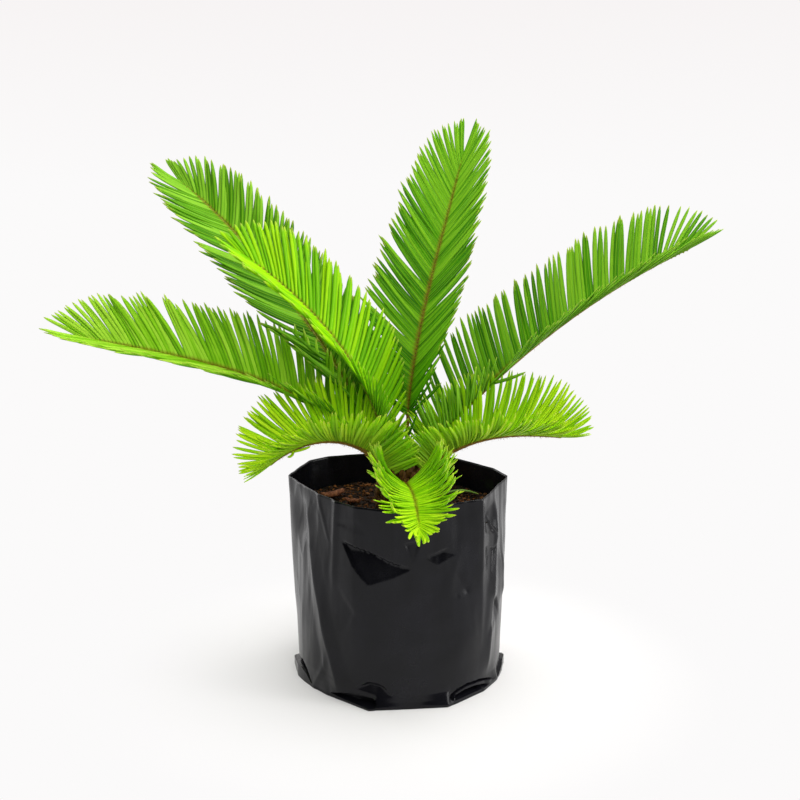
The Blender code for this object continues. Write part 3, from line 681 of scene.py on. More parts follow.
# %% Stalk and wool materials
def fibrous(name, dark, middle, light, grain_mm, stretch, roughness, bump):
    """A plant fibre surface with a grain of a given width, drawn out along Z."""
    made, tree, shader, place = new_material(name, Roughness=roughness, IOR=1.4)
    drawn = add_node(tree, "Mapping", {"Vector": place, "Scale": (1.0, 1.0, 1 / stretch)})
    grain = add_node(tree, "TexNoise", {"Vector": drawn, "Scale": 1000 / grain_mm, "Detail": 3.0})
    stops = [(0.3, dark), (0.72, light), (0.5, middle)]
    tone = add_node(tree, "ValToRGB", {"Fac": grain}, stops=stops)
    ridges = add_node(tree, "Bump", {"Height": grain, "Strength": bump, "Distance": 0.0004})
    feed(tree, shader, {"Base Color": tone, "Normal": ridges})
    return made


stalk_skin = fibrous("fibrous_stalk_skin", "#6b5a1e", "#8c8a2e", "#a9a945", 1.6, 2.0, 0.6, 0.4)
woolly_skin = fibrous("woolly_stalk_skin", "#604410", "#866420", "#a28636", 1.2, 1.0, 0.85, 0.6)
wool = fibrous("rust_brown_wool", "#74500f", "#9a701c", "#bc963c", 3.0, 1.0, 0.9, 0.0)
print("stalk materials:", stalk_skin.name, woolly_skin.name, wool.name)

# %% [markdown]
# ## Growing the fronds
# Each frond is one object with three material slots: leaflets, stalk and wool. It replaces
# the CAD frond that it repeats. Points on finished fronds are kept, so that later ones can
# stay clear of them.

# %% Fronds
def keep_object(bm, name, materials, node):
    """Makes an object of a finished bmesh, which replaces a node of the CAD and rides on its body."""
    mesh = mesh_of(bm, name)
    for material in materials:
        mesh.materials.append(material)
    made = new_object(name, mesh)
    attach(made, "root")
    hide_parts(node)
    mesh.calc_loop_triangles()
    print(name, "triangles:", len(mesh.loop_triangles))
    return made


def new_leafy():
    """An empty bmesh with the values that leaflets carry."""
    bm = bmesh.new()
    for name in SHADES:
        bm.verts.layers.float.new(name)
    return bm


def set_slot(bm, first, slot):
    """Gives a material slot to the faces made since there were so many, and smooths them."""
    bm.faces.ensure_lookup_table()
    for face in bm.faces[first:]:
        face.material_index = slot
        face.smooth = True


noise.seed_set(SEED)
STEM_HEIGHTS_MM = range(150, 195, 4)  # where points stand for the stem, which leaflets keep clear of
WOOLLY = 200  # a stalk with more hairs than this has a woolly skin too
held = {frond.node: spines[frond.node][2:] for frond in FRONDS}
held["stem"] = [CROWN + polar(0.024, a, z / 1000) for z in STEM_HEIGHTS_MM for a in range(7)]
for frond in FRONDS:
    others = [point for node, points in held.items() if node != frond.node for point in points]
    taken = KDTree(len(others))
    for k, point in enumerate(others):
        taken.insert(point, k)
    taken.balance()
    spine = spines[frond.node]
    bm = new_leafy()
    for side in (-1, 1):
        for frames, width, shade in plan_side(frond, side, spine, taken):
            add_leaflet(bm, frames, width, shade)
            held[frond.node] += [frames[k][0] for k in sorted(frames)[2:]]
    set_slot(bm, 0, 0)
    first = len(bm.faces)
    rings = stalk_rings(frond, spine)
    tip = on_spine(spine, STALK_END) + axes_at(frond, 1.0)[0] * frond.thick
    draw_out(bm, rings, tip)
    bm.faces.ensure_lookup_table()
    bmesh.ops.recalc_face_normals(bm, faces=bm.faces[first:])
    set_slot(bm, first, 1)
    first = len(bm.faces)
    add_stalk_wool(bm, frond, spine)
    set_slot(bm, first, 2)
    skin = woolly_skin if frond.wool > WOOLLY else stalk_skin
    piece = frond.node.replace("frond_", "") + "_feather_frond"
    keep_object(bm, piece, (leaf_materials[frond.leaf], skin, wool), frond.node)

# %% [markdown]
# ## The bag
# The pot is a black polythene nursery bag: a flat tube, welded across its foot and filled
# with soil. The tube's two side folds stand out as ridges, its front is creased and dented,
# and its base corners are tucked in as pockets. It could be simulated as a filling bag, but
# the creases of the photographed one are wanted, so the film is a fine polar shell, moved
# in and out by a table of creases, round dents and sharp-edged facets.

# %% The film's large form, as in the CAD
BAG_RADIUS, BAG_HEIGHT, RIM_TILT = 0.0985, 0.184, 0.0025
BAG_PROFILE = (
    (0.0, -0.0027), (0.012, -0.0027), (0.03, -0.002), (0.06, -0.0007), (0.1, 0.0001), (0.184, 0.0001),
)
RIM = (
    (5, 0.1025), (21, 0.0984), (42, 0.091), (50, 0.092), (85, 0.0965), (121, 0.1), (132, 0.107),
    (144, 0.11), (174, 0.106), (215, 0.0866), (245, 0.0927), (258, 0.0937), (267, 0.098), (309, 0.091),
    (320, 0.097),
)
RIM_PANELS_FROM = 0.02
FOOT = (
    (1, 0.101), (30, 0.099), (62, 0.0985), (110, 0.1025), (150, 0.0985), (178, 0.1016), (196, 0.0991),
    (204, 0.0971), (212, 0.0956), (226, 0.0948), (255, 0.1038), (295, 0.103), (322, 0.0984), (338, 0.0988),
    (348, 0.0987),
)
FOOT_SPREAD = ((0.0, 0.92), (0.0025, 1.0), (0.006, 0.6), (0.012, 0.12), (0.02, 0.0))
CREASE_FADE = 0.02  # a crease runs out over this much above and below its ends
Crease = namedtuple(
    "Crease", "low_height low_azimuth low_depth high_height high_azimuth high_depth width sharp"
)
CREASES = (
    Crease(0.021, 235, 0.0035, 0.16, 203, 0.0022, 9, True),  # diagonal ridge on the left
    Crease(0.032, 327, 0.0022, 0.14, 337, 0.0025, 8, True),
    Crease(0.02, 98, 0.0025, 0.14, 76, 0.002, 10, True),
    Crease(0.12, 229, 0.0, 0.184, 231, 0.002, 8, True),  # edge of the front left panel
    Crease(0.08, 309, 0.0, 0.17, 306, -0.0025, 12, False),
    # finer ridges and one bulge, which the CAD doesn't have
    Crease(0.118, 230.6, 0.001, 0.186, 230.6, 0.001, 4, True),
    Crease(0.143, 226.2, 0.0006, 0.184, 211.5, 0.0008, 3, True),
    Crease(0.003, 215.0, 0.0008, 0.028, 225.5, 0.0012, 4, True),
    Crease(0.096, 297.0, 0.0, 0.137, 306.0, 0.0014, 6, True),
    Crease(0.088, 331.5, 0.0006, 0.156, 340.5, 0.0014, 4, True),
    Crease(0.085, 352.0, 0.003, 0.108, 352.0, 0.003, 9, True),
)
Dent = namedtuple("Dent", "height azimuth half_height half_width depth")
DENTS = (
    Dent(0.152, 190, 0.03, 12, 0.0032),  # not in the CAD: the left side sinks below the rim's corner
    Dent(0.095, 118, 0.03, 20, 0.0045),
    Dent(0.115, 35, 0.024, 16, 0.0035),
    Dent(0.01, 62, 0.013, 24, 0.003),
    Dent(0.01, 150, 0.013, 22, 0.003),
)


def between(table, place):
    """The value at a place in a table of (place, value) pairs."""
    for (low, first), (high, second) in zip(table, table[1:]):
        if place <= high:
            return first + (second - first) * max(place - low, 0) / (high - low)
    return table[-1][1]


def turned_by(azimuth, other):
    """Degrees from one azimuth to another, the short way round."""
    return (azimuth - other + 180) % 360 - 180


def crease_depth(crease, azimuth, height):
    """How far a crease lifts the film: a sharp one has a ridge line, a soft one a round back."""
    low, high = crease.low_height, crease.high_height
    along = clamp((height - low) / (high - low))
    fade = 1 - ease(max(low - height, height - high), 0, CREASE_FADE)
    middle = crease.low_azimuth + (crease.high_azimuth - crease.low_azimuth) * along
    depth = crease.low_depth + (crease.high_depth - crease.low_depth) * along
    off = abs(turned_by(azimuth, middle)) / crease.width
    if off >= 1:
        return 0.0
    return depth * fade * ((1 - off) ** 1.4 if crease.sharp else ease(1 - off))


def dent_depth(dent, azimuth, height):
    """How far an oval dent pushes the film in."""
    across = turned_by(azimuth, dent.azimuth) / dent.half_width
    return dent.depth * ease(1 - hypot(across, (height - dent.height) / dent.half_height))


def cornered_radius(corners, azimuth):
    """The radius of an outline, on straight lines between its corners."""
    for (first, near), (second, far) in zip(corners, corners[1:] + corners[:1]):
        turn, span = (azimuth - first) % 360, (second - first) % 360
        if turn <= span:
            before, after = radians(turn), radians(span - turn)
            return near * far * sin(before + after) / (near * sin(before) + far * sin(after))


def large_form(azimuth, height, spread):
    """The film's radius. spread is how much of the foot's outline it has."""
    panel = clamp((height - RIM_PANELS_FROM) / (BAG_HEIGHT - RIM_PANELS_FROM))
    radius = BAG_RADIUS + between(BAG_PROFILE, height)
    radius += (cornered_radius(RIM, azimuth) - radius) * panel
    radius += (cornered_radius(FOOT, azimuth) - radius) * spread
    radius += sum(crease_depth(crease, azimuth, height) for crease in CREASES)
    return radius - sum(dent_depth(dent, azimuth, height) for dent in DENTS)


print("radius at the front, half way up:", round(large_form(270, 0.09, 0.0), 4))

# %% [markdown]
# Thin film buckles into flat triangles with crisp edges. Each fold here is a triangle of
# three corners, and each corner has its own depth, so a fold can lean: one that is deepest
# at its top edge faces up and mirrors the dark room. Its depth is averaged over a few
# millimetres, which keeps the shell's steps off the edges. Where the welded foot is tucked
# in, a slot opens between the wall above and the lip below. Film that hangs free also has
# soft upright waves, which a noise that is stretched upwards gives.

# %% The film's folds
# each fan of folds has a middle corner and the others around it, and each corner is an
# azimuth, a height and a depth into the bag
FANS = (
    ((256, 0.1407, 0.0072), (276.5, 0.1289, 0.0006), (253.5, 0.1132, 0.0004), (246, 0.127, 0.0012),
     (240, 0.1418, 0.0022), (237, 0.1481, 0.0014)),  # the large hollow
    ((273, 0.1515, 0.0014), (281.5, 0.1527, 0.0014), (277.6, 0.131, 0.0)),
    ((231, 0.164, 0.0007), (247, 0.1704, 0.0007), (254, 0.157, 0.0)),
    ((294, 0.1405, 0.0024), (283, 0.137, 0.0), (291.5, 0.127, -0.0007), (304, 0.136, 0.0),
     (300.5, 0.1445, -0.0006)),  # the crumple
    ((329, 0.1635, 0.0044), (335, 0.145, 0.002), (322, 0.148, 0.0), (320.5, 0.187, 0.0),
     (338, 0.1725, 0.0002), (339, 0.1405, 0.0006)),  # the right side's pleats
    ((327, 0.095, 0.0), (322, 0.138, 0.0), (334, 0.13, 0.0022), (339, 0.135, 0.0)),
    ((324.5, 0.05, 0.0), (328, 0.088, 0.0), (340, 0.078, 0.0034), (344, 0.064, 0.0)),
    ((302, 0.124, 0.0), (312, 0.101, 0.0016), (297, 0.096, 0.0)),  # broad soft folds in front
    ((232, 0.11, 0.0), (246, 0.086, 0.0012), (236, 0.056, 0.0)),
    ((257, 0.0125, 0.0004), (244.5, 0.015, 0.0), (254, 0.0226, 0.0034), (261, 0.0206, 0.0026),
     (267, 0.0112, 0.0)),  # over the left pocket
)
FOLDS = [(fan[0], *pair) for fan in FANS for pair in zip(fan[1:], fan[2:])]
# each slot has a depth, and rows of azimuth, lowest and highest place
SLOTS = (
    (0.006, ((168, 0.003, 0.003), (180, 0.0075, 0.0105), (190, 0.01, 0.0145), (201, 0.0125, 0.0195),
             (207, 0.0095, 0.015), (211.5, 0.004, 0.007), (214, 0.002, 0.002))),
    (0.006, ((228.5, 0.004, 0.004), (237, 0.0025, 0.008), (246, 0.0022, 0.0105), (255, 0.002, 0.0085),
             (257.5, 0.002, 0.006), (258.3, 0.002, 0.002))),
    (0.005, ((296.5, 0.0025, 0.0025), (299, 0.006, 0.0078), (303, 0.009, 0.0116), (309.5, 0.0112, 0.014),
             (320, 0.01, 0.0126), (329, 0.0062, 0.008), (337, 0.002, 0.002))),
    (0.007, ((299.5, 0.003, 0.003), (303, 0.0035, 0.0062), (308, 0.0035, 0.0086), (315.5, 0.0035, 0.0085),
             (323, 0.003, 0.0055), (329, 0.0025, 0.0025))),
    (0.006, ((338, 0.001, 0.001), (344, 0.003, 0.0055), (349, 0.0055, 0.0095), (355, 0.0085, 0.0125),
             (363, 0.0085, 0.012), (372, 0.003, 0.003))),
    (0.005, ((50, 0.002, 0.002), (58, 0.0035, 0.0085), (68, 0.0035, 0.01), (78, 0.002, 0.002))),
    (0.005, ((126, 0.002, 0.002), (136, 0.0035, 0.0095), (148, 0.004, 0.009), (158, 0.002, 0.002))),
)
TUCKED_BELOW = 0.03  # no slot is higher up
SLOT_OPEN = 0.002  # a slot this high is fully open
LIP_TURN, LOWER_EDGE, UPPER_EDGE = 0.0008, 0.0012, 0.0007  # over what heights its edges turn in
SOFTENED = [(0, 0)]  # steps in degrees and metres
SOFTENED += [(0.7 * cos(tau * k / 8), 0.0011 * sin(tau * k / 8)) for k in range(8)]
FOLD_TURN, FOLD_REACH = 26, 0.045  # no fold is larger than this, in degrees and metres


def folds_at(azimuth, height):
    """The depth of all folds at a place, taken over a few points so that their edges are soft."""
    near = [
        fold for fold in FOLDS
        if abs(turned_by(fold[0][0], azimuth)) < FOLD_TURN and abs(fold[0][1] - height) < FOLD_REACH
    ]
    depths = [fold_depth(fold, azimuth + a, height + h) for a, h in SOFTENED for fold in near]
    return sum(depths) / len(SOFTENED)


def fold_depth(corners, azimuth, height):
    """How far a triangular fold pushes the film in at a place, by the corners' shares of it."""
    (ax, ay), (bx, by), (cx, cy) = [
        (radians(turned_by(a, azimuth)) * BAG_RADIUS, h - height) for a, h, _ in corners
    ]
    whole = (bx - ax) * (cy - ay) - (cx - ax) * (by - ay)
    shares = ((bx * cy - cx * by) / whole, (cx * ay - ax * cy) / whole, (ax * by - bx * ay) / whole)
    if min(shares) < 0:
        return 0.0
    return sum(share * corner[2] for share, corner in zip(shares, corners))


def slot_at(rows, azimuth):
    """A slot's lowest and highest place at an azimuth, or nothing outside it."""
    for around in (azimuth, azimuth + 360):
        if rows[0][0] < around < rows[-1][0]:
            return [between([(row[0], row[side]) for row in rows], around) for side in (1, 2)]
    return None


def foot_form(azimuth, height):
    """How much of the foot's outline the film has here, and how deep a slot pushes it in."""
    spread, push = between(FOOT_SPREAD, height), 0.0
    for depth, rows in SLOTS:
        found = slot_at(rows, azimuth)
        if found and height < TUCKED_BELOW:
            low, high = found
            opened = ease(high - low, 0, SLOT_OPEN)
            if height > low:
                spread *= 1 - opened * ease(height - low, 0, LIP_TURN)
            else:
                spread = max(spread, opened)
            push += depth * opened * ease(height - low, 0, LOWER_EDGE) * ease(high - height, 0, UPPER_EDGE)
    return spread, push


# for each kind of wave, how high it is, how often it comes in a metre, how far it is drawn
# out upwards, and where in the noise it starts
WAVES = {
    "broad": (0.0011, 34, 0.7, (0, 0, 0.31)),
    "upright": (0.0006, 110, 0.12, (0, 0, 0)),
    "small": (0.00016, 170, 0.5, (0, 0, 0)),
    "ridge": (0.00045, 60, 0.4, (3, 0, 0)),
}


def film_waves(angle, height):
    """Upright waves and small crumples of the free film, stronger on the sides than in front."""
    around = polar(1, angle) * BAG_RADIUS
    free = (0.3 + 0.7 * ease(height, 0.03, 0.15)) * (0.42 + 0.58 * cos(angle) ** 2)
    total = 0.0
    for kind, (high, often, drawn, start) in WAVES.items():
        wave = noise.noise((Vector((around.x, around.y, height * drawn)) + Vector(start)) * often)
        if kind == "ridge":
            wave = (1 - abs(wave)) ** 6
        total += high * wave * (ease(height, 0.02, 0.06) if kind == "broad" else free)
    return total


def film_point(angle, height):
    """Where the film is, with all of its folds, slots and waves."""
    azimuth = degrees(angle) % 360
    spread, push = foot_form(azimuth, height)
    radius = large_form(azimuth, height, spread) - push
    radius -= folds_at(azimuth, height)
    radius += film_waves(angle, height)
    return polar(radius, angle, height)


print("folds:", len(FOLDS), "slots:", len(SLOTS))

# %% [markdown]
# The shell starts as an open cylinder. Its walls are subdivided into rows, its base is
# inset, and each point is then moved to its place on the film. Rows and columns are closer
# together where the folds are. A Solidify modifier gives the film its wall.

# %% Film shell
BAG_AROUND, BAG_UP = 330, 121
FILM_WALL = 0.0005  # real film is 0.1 mm; this much still shows as a thin edge at the rim
BASE_INSETS = (0.012, 0.03, 0.03)
CRISP = radians(40)  # edges that turn more than this stay sharp
# shares of the rows and the heights they reach, closer together at the foot and at the hollow
ROW_HEIGHTS = ((0.0, 0.0), (0.33, 0.022), (0.57, 0.11), (0.885, 0.155), (1.0, BAG_HEIGHT))
COLUMN_TURNS = ((0.0, 0.0), (0.333, pi), (1.0, tau))  # two thirds of the columns are in front
bm = bmesh.new()
bmesh.ops.create_cone(
    bm, segments=BAG_AROUND, radius1=BAG_RADIUS, radius2=BAG_RADIUS, depth=BAG_HEIGHT, cap_ends=True
)
bmesh.ops.translate(bm, verts=bm.verts, vec=(0, 0, BAG_HEIGHT / 2))
lid = max(bm.faces, key=lambda face: face.calc_center_median().z)
bmesh.ops.delete(bm, geom=[lid], context="FACES_ONLY")
upright = [edge for edge in bm.edges if abs(edge.verts[0].co.z - edge.verts[1].co.z) > 0.01]
bmesh.ops.subdivide_edges(bm, edges=upright, cuts=BAG_UP)
base = min(bm.faces, key=lambda face: face.calc_center_median().z)
for thickness in BASE_INSETS:
    bmesh.ops.inset_region(bm, faces=[base], thickness=thickness)
for vert in bm.verts:
    turn = Vector((1, 0)).angle_signed(vert.co.xy, 0.0) * -1 % tau
    angle = between(COLUMN_TURNS, turn / tau)
    share = hypot(vert.co.x, vert.co.y) / BAG_RADIUS
    height = between(ROW_HEIGHTS, vert.co.z / BAG_HEIGHT)
    vert.co = film_point(angle, height)
    if height < 1e-6:
        vert.co = Vector((vert.co.x * share, vert.co.y * share, 0.0))
    vert.co.z += RIM_TILT * sin(angle) * ease(height, 0.15, BAG_HEIGHT)
bmesh.ops.recalc_face_normals(bm, faces=bm.faces)
set_slot(bm, 0, 0)
for edge in bm.edges:
    edge.smooth = edge.calc_face_angle(0.0) < CRISP

# %% [markdown]
# ## Polythene film
# Black polythene gets its colour from soot, so it returns almost no light of its own: what
# the eye sees is the studio mirrored in its skin. Blown film is glossy with a slight haze.
# A fine noise bump, a few millimetres wide, breaks the mirror as handled film does, and a
# little dust makes it greyer and duller in places. Its specular level is set low, because
# thin black film mirrors less than its IOR alone would say.

# %% Film material
film, tree, shader, place = new_material("blown_black_polythene", IOR=1.5, Specular_IOR_Level=0.22)
DUST_MM, RUMPLE_MM, RUMPLE_STRETCH = 30, 6, 0.3
dust = add_node(tree, "TexNoise", {"Vector": place, "Scale": 1000 / DUST_MM, "Detail": 4.0})
tint = add_node(tree, "ValToRGB", {"Fac": dust}, stops=[(0.3, "#08080b"), (0.8, "#15151a")])
haze = add_node(tree, "MapRange", {"Value": dust, "To Min": 0.17, "To Max": 0.32})
drawn = add_node(tree, "Mapping", {"Vector": place, "Scale": (1.0, 1.0, RUMPLE_STRETCH)})
handled = add_node(tree, "TexNoise", {"Vector": drawn, "Scale": 1000 / RUMPLE_MM, "Detail": 3.0})
rumple = add_node(tree, "Bump", {"Height": handled, "Strength": 0.16, "Distance": 0.0006})
feed(tree, shader, {"Base Color": tint, "Roughness": haze, "Normal": rumple})
bag = keep_object(bm, "creased_film_bag", [film], "nursery_bag")
wall = bag.modifiers.new("film_wall", "SOLIDIFY")
wall.thickness = FILM_WALL
wall.offset = -1.0

# %% [markdown]
# ## The soil
# The potting mix is dark peat with crumbs and shreds of bark. Its plug repeats the CAD's,
# with finer lumps on top. Loose crumbs lie half sunk in it. They could be scattered as
# instances, but real geometry survives an export, so each crumb is a copied 20-face ball.

# %% Soil plug
SOIL_HEIGHT, SOIL_RISE = 0.155, 0.002
SOIL_INSET = 0.003
STEM_RADIUS = 0.0265
BARE_MIDDLE = 0.29  # the share of the soil's radius that the stem hides, where no crumbs lie
SOIL_SHOULDER = 0.148  # above this the plug fills the bag's mouth
HOLLOW_ROOM = Dent(0.129, 258, 0.034, 36, 0.016)
FOOT_ROOM_TOP, FOOT_ROOM = 0.026, 0.006
SOIL_AROUND, SOIL_TOP_RINGS = 120, 34
SOIL_ROWS = (0.002, 0.006, 0.01, 0.014, 0.02, 0.035, 0.06, 0.09, 0.112, 0.12, 0.128, 0.136, 0.144, 0.15)


def soil_height(x, y):
    """The CAD's lumps with finer grains on them."""
    broad = 0.0016 * sin(71 * x + 0.4) * sin(83 * y - 0.7) + 0.001 * sin(190 * x + 120 * y)
    fine = 0.0009 * noise.noise(Vector((x, y, 0.0)) * 260) + 0.0006 * noise.noise(Vector((x, y, 1.0)) * 700)
    return SOIL_HEIGHT + broad + fine + SOIL_RISE * hypot(x, y) / BAG_RADIUS


def soil_edge(angle, height):
    """The plug's side, which gives way behind the large hollow and the tucked foot."""
    azimuth = degrees(angle)
    radius = large_form(azimuth, height, 0.0) - SOIL_INSET
    if height < SOIL_SHOULDER:
        radius -= dent_depth(HOLLOW_ROOM, azimuth, height)
    if height < FOOT_ROOM_TOP:
        radius -= FOOT_ROOM
    return polar(radius, angle, height)


bm = bmesh.new()
angles = [tau * k / SOIL_AROUND for k in range(SOIL_AROUND)]
rings = [[soil_edge(angle, height) for angle in angles] for height in SOIL_ROWS]
for k in range(SOIL_TOP_RINGS + 1):
    share = (1 - k / SOIL_TOP_RINGS) ** 0.9
    ring = []
    for angle in angles:
        edge = soil_edge(angle, SOIL_ROWS[-1])
        inner = CROWN + polar(1, angle) * STEM_RADIUS * 0.8
        flat = inner.lerp(Vector((edge.x, edge.y, 0)), share)
        ring.append(Vector((flat.x, flat.y, soil_height(flat.x, flat.y))))
    rings.append(ring)
draw_out(bm, rings, CROWN + UP * SOIL_HEIGHT)
bmesh.ops.recalc_face_normals(bm, faces=bm.faces)
print("soil faces:", len(bm.faces))

# %% Crumbs
CRUMBS = 3200
CRUMB_GAP = 0.001  # between a crumb and the plug's side, so that none pokes through the film
shade_layer = bm.verts.layers.float.new("shade")
ball_bm = bmesh.new()
bmesh.ops.create_icosphere(ball_bm, subdivisions=1, radius=1.0)
ball = mesh_of(ball_bm, "crumb_template")
for _ in range(CRUMBS):
    angle = rng.uniform(0, tau)
    size = 0.0006 + 0.0018 * rng.random() ** 2.5
    furthest = soil_edge(angle, SOIL_ROWS[-1]).xy.length - CRUMB_GAP - size
    away = sqrt(rng.uniform(BARE_MIDDLE**2, 1)) * furthest
    x, y = away * cos(angle), away * sin(angle)
    verts = add_copy(bm, ball)
    stretch = Vector((rng.uniform(0.6, 1.5), rng.uniform(0.6, 1.3), rng.uniform(0.5, 0.9))) * size
    turn = Matrix.Rotation(rng.uniform(0, tau), 3, "Z")
    shade = rng.random()
    for vert in verts:
        rough = 1 + 0.35 * noise.noise(vert.co * 2 + Vector((x, y, 0)) * 900)
        vert.co = turn @ (vert.co * rough * stretch) + Vector((x, y, soil_height(x, y) + size * 0.25))
        vert[shade_layer] = shade
set_slot(bm, 0, 0)
print("crumbs:", CRUMBS)

# %% [markdown]
# Moist peat is matt and nearly black, and its dry crumbs are brown. A ramp mixes the tone
# that each crumb carries with a clouded noise, and a small cell pattern gives the bumps of
# grit, so that the eye reads loose earth and not paint.

# %% Potting soil material
GRIT_MM, CLOD_MM = 2.2, 8
peat, tree, shader, place = new_material("moist_peat_soil", Roughness=0.92, IOR=1.35)
grit = add_node(tree, "TexVoronoi", {"Vector": place, "Scale": 1000 / GRIT_MM})
clods = add_node(tree, "TexNoise", {"Vector": place, "Scale": 1000 / CLOD_MM, "Detail": 5.0})
crumb = add_node(tree, "Attribute", attribute_name="shade")
tone = add_node(tree, "Math", {0: crumb.outputs["Fac"], 1: 0.55, 2: -0.02}, operation="MULTIPLY_ADD")
mixed = add_node(tree, "Math", {0: clods, 1: 0.6, 2: tone}, operation="MULTIPLY_ADD")
stops = [(0.2, "#100804"), (0.95, "#8c5628"), (0.52, "#2b190d")]
brown = add_node(tree, "ValToRGB", {"Fac": mixed}, stops=stops)
grains = add_node(tree, "Bump", {"Height": grit, "Strength": 0.9, "Distance": 0.0012})
feed(tree, shader, {"Base Color": brown, "Normal": grains})
keep_object(bm, "potting_mix", [peat], "soil")

# %% [markdown]
# ## The stem
# A young sago's stem is a short cone of old leaf bases. Each base is a blunt woody scale,
# and the scales stand in a spiral that turns by the golden angle, 137.5 degrees, from each
# to the next. A core and copies of the leaflet, made short and thick, give that. Rust-brown
# wool fills the top.

# %% Stem scales
STEM_PROFILE = (
    (0.13, 0.014), (0.138, 0.0225), (0.148, 0.0258), (0.157, 0.0265), (0.165, 0.0262), (0.1725, 0.025),
    (0.1795, 0.023), (0.186, 0.02), (0.1915, 0.016), (0.196, 0.011), (0.199, 0.006),
)
GOLDEN_ANGLE = radians(137.508)
CORE_SHARE = 0.9
CORE_LOW, CORE_HIGH, CORE_TIP, CORE_RINGS = 0.13, 0.199, 0.2, 24
STEM_AROUND = 48
SCALES = 96
SCALES_LOW, SCALES_SPAN = 0.151, 0.0455  # the lowest scale, and how far up the others reach from it
SCALE_THICK, SCALE_HOOK = 0.004, radians(-28)
CROWN_HAIRS = 900
HAIRS_LOW, HAIRS_SPAN = 0.158, 0.044  # the same for the wool
angles = [tau * k / STEM_AROUND for k in range(STEM_AROUND)]
bm = new_leafy()
rings = []
for k in range(CORE_RINGS):
    height = CORE_LOW + (CORE_HIGH - CORE_LOW) * k / (CORE_RINGS - 1)
    radius = between(STEM_PROFILE, height) * CORE_SHARE
    rings.append([CROWN + polar(radius, angle, height) for angle in angles])
draw_out(bm, rings, CROWN + UP * CORE_TIP)
bmesh.ops.recalc_face_normals(bm, faces=bm.faces)
for k in range(SCALES):
    height = SCALES_LOW + SCALES_SPAN * (k / (SCALES - 1)) ** 0.9
    angle = k * GOLDEN_ANGLE
    out, side = polar(1, angle), Vector((-sin(angle), cos(angle), 0))
    root = CROWN + out * (between(STEM_PROFILE, height) * CORE_SHARE) + UP * height
    rising = (UP + out * 0.35).normalized()
    sweep, length = radians(rng.uniform(-8, 8)), rng.uniform(0.01, 0.015)
    frames = bent_frames(root, rising, side, out, sweep, 0.0, SCALE_HOOK, 0.0, length)
    add_leaflet(bm, frames, rng.uniform(0.0062, 0.008), rng.random(), SCALE_THICK)
set_slot(bm, 0, 0)
first = len(bm.faces)
for _ in range(CROWN_HAIRS):
    height = HAIRS_LOW + HAIRS_SPAN * rng.random() ** 0.6
    out = polar(1, rng.uniform(0, tau))
    foot = CROWN + out * between(STEM_PROFILE, min(height, CORE_HIGH)) * 0.98 + UP * height
    way = out * rng.uniform(0.3, 1.0) + UP * rng.uniform(0.3, 1.2)
    way += noise.random_unit_vector() * 0.5
    add_hair(bm, foot, way.normalized(), rng.uniform(0.002, 0.005))
set_slot(bm, first, 1)
stem_bark = fibrous("woody_leaf_base", "#2c1a0c", "#563616", "#7d5a2c", 1.4, 3.0, 0.85, 0.8)
keep_object(bm, "scaly_stem", [stem_bark, wool], "stem")

# %% [markdown]
# ## Bark shreds and a shed leaflet
# A few curled shreds of bark and one dry leaflet lie on the soil. A shred is a small grid,
# curled about its length with torn, uneven ends, and given a thickness. Each lies where
# the CAD has a chip.

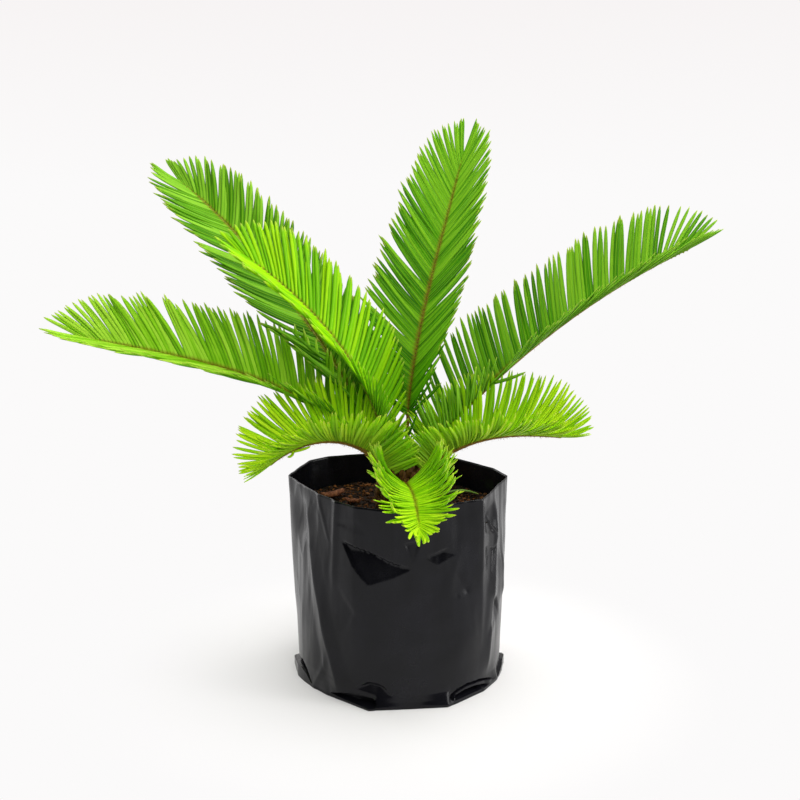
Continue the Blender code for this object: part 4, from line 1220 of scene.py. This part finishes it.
# %% Bark shreds
CHIP_TURNS = (40, 80, -20, 15, 60, -35)  # how each chip is turned, in degrees
SHRED_THICK = 0.0014
SHRED_LONG, SHRED_WIDE = 0.44, 0.42  # half its length by its box, and its width by its length
ROLLED = 1.25  # how far a shred curls, in radians at its long edges
SUNK = 0.0004  # into the soil
torn_bark = fibrous("torn_pine_bark", "#3a1d10", "#6e3d24", "#9c6a44", 1.8, 1.0, 0.88, 0.9)
for number, turn in enumerate(CHIP_TURNS, 1):
    node = f"bark_chip_{number}"
    low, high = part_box(node)
    middle = (Vector(low) + Vector(high)) / 2
    long = hypot(high[0] - low[0], high[1] - low[1]) * SHRED_LONG
    wide = long * SHRED_WIDE
    bm = bmesh.new()
    bmesh.ops.create_grid(bm, x_segments=14, y_segments=8, size=1.0)
    for vert in bm.verts:
        x, y = vert.co.x, vert.co.y
        ragged = 1 + 0.22 * noise.noise(Vector((number, y * 3.1, 0)))
        narrow = 1 - 0.45 * x * x + 0.25 * noise.noise(Vector((x * 3, number, 2 * (y > 0))))
        roll = y * ROLLED
        lift = (high[2] - low[2]) * 0.75 * cos(roll) + 0.0012 * noise.noise(Vector((x * 2, y * 2, number)))
        vert.co = Vector((x * long * ragged, sin(roll) * wide * narrow, max(lift, 0.0003) + 0.0012 * x * x))
    bmesh.ops.rotate(bm, verts=bm.verts, cent=(0, 0, 0), matrix=Matrix.Rotation(radians(turn), 3, "Z"))
    bmesh.ops.translate(bm, verts=bm.verts, vec=(middle.x, middle.y, low[2] - SUNK))
    bmesh.ops.recalc_face_normals(bm, faces=bm.faces)
    bmesh.ops.solidify(bm, geom=bm.faces[:], thickness=SHRED_THICK)
    set_slot(bm, 0, 0)
    keep_object(bm, f"torn_bark_shred_{number}", [torn_bark], node)

# %% Shed leaflet
FALLEN_PLACE = Vector((0.06, 0.04, 0.0))
FALLEN_BEND, FALLEN_LENGTH, FALLEN_WIDTH, FALLEN_THICK = radians(35), 0.036, 0.0036, 0.001
FALLEN_LOW, FALLEN_ARCH = 0.0008, 0.0035  # its ends above the CAD's underside, its middle above them
low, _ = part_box("fallen_leaflet")
radius = FALLEN_LENGTH / FALLEN_BEND
frames = {}
for s in PLACES:
    turn = FALLEN_BEND * (s - 0.5)
    point = FALLEN_PLACE + Vector((radius * sin(turn), radius * (cos(turn) - 1), 0))
    point.z = low[2] + FALLEN_LOW + FALLEN_ARCH * sin(pi * s)
    across = Vector((sin(turn), cos(turn), 0.3)).normalized()
    frames[round(s * 1000)] = (point, across, Vector((0, -0.3, 1)).normalized())
bm = new_leafy()
add_leaflet(bm, frames, FALLEN_WIDTH, 0.3, FALLEN_THICK)
set_slot(bm, 0, 0)
bmesh.ops.recalc_face_normals(bm, faces=bm.faces)
shed = waxy_leaf("shed_cycad_leaflet", ("#4f6b2c", "#6f8f45", "#9aa860", "#3c5420"))
keep_object(bm, "shed_leaflet_curl", [shed], "fallen_leaflet")
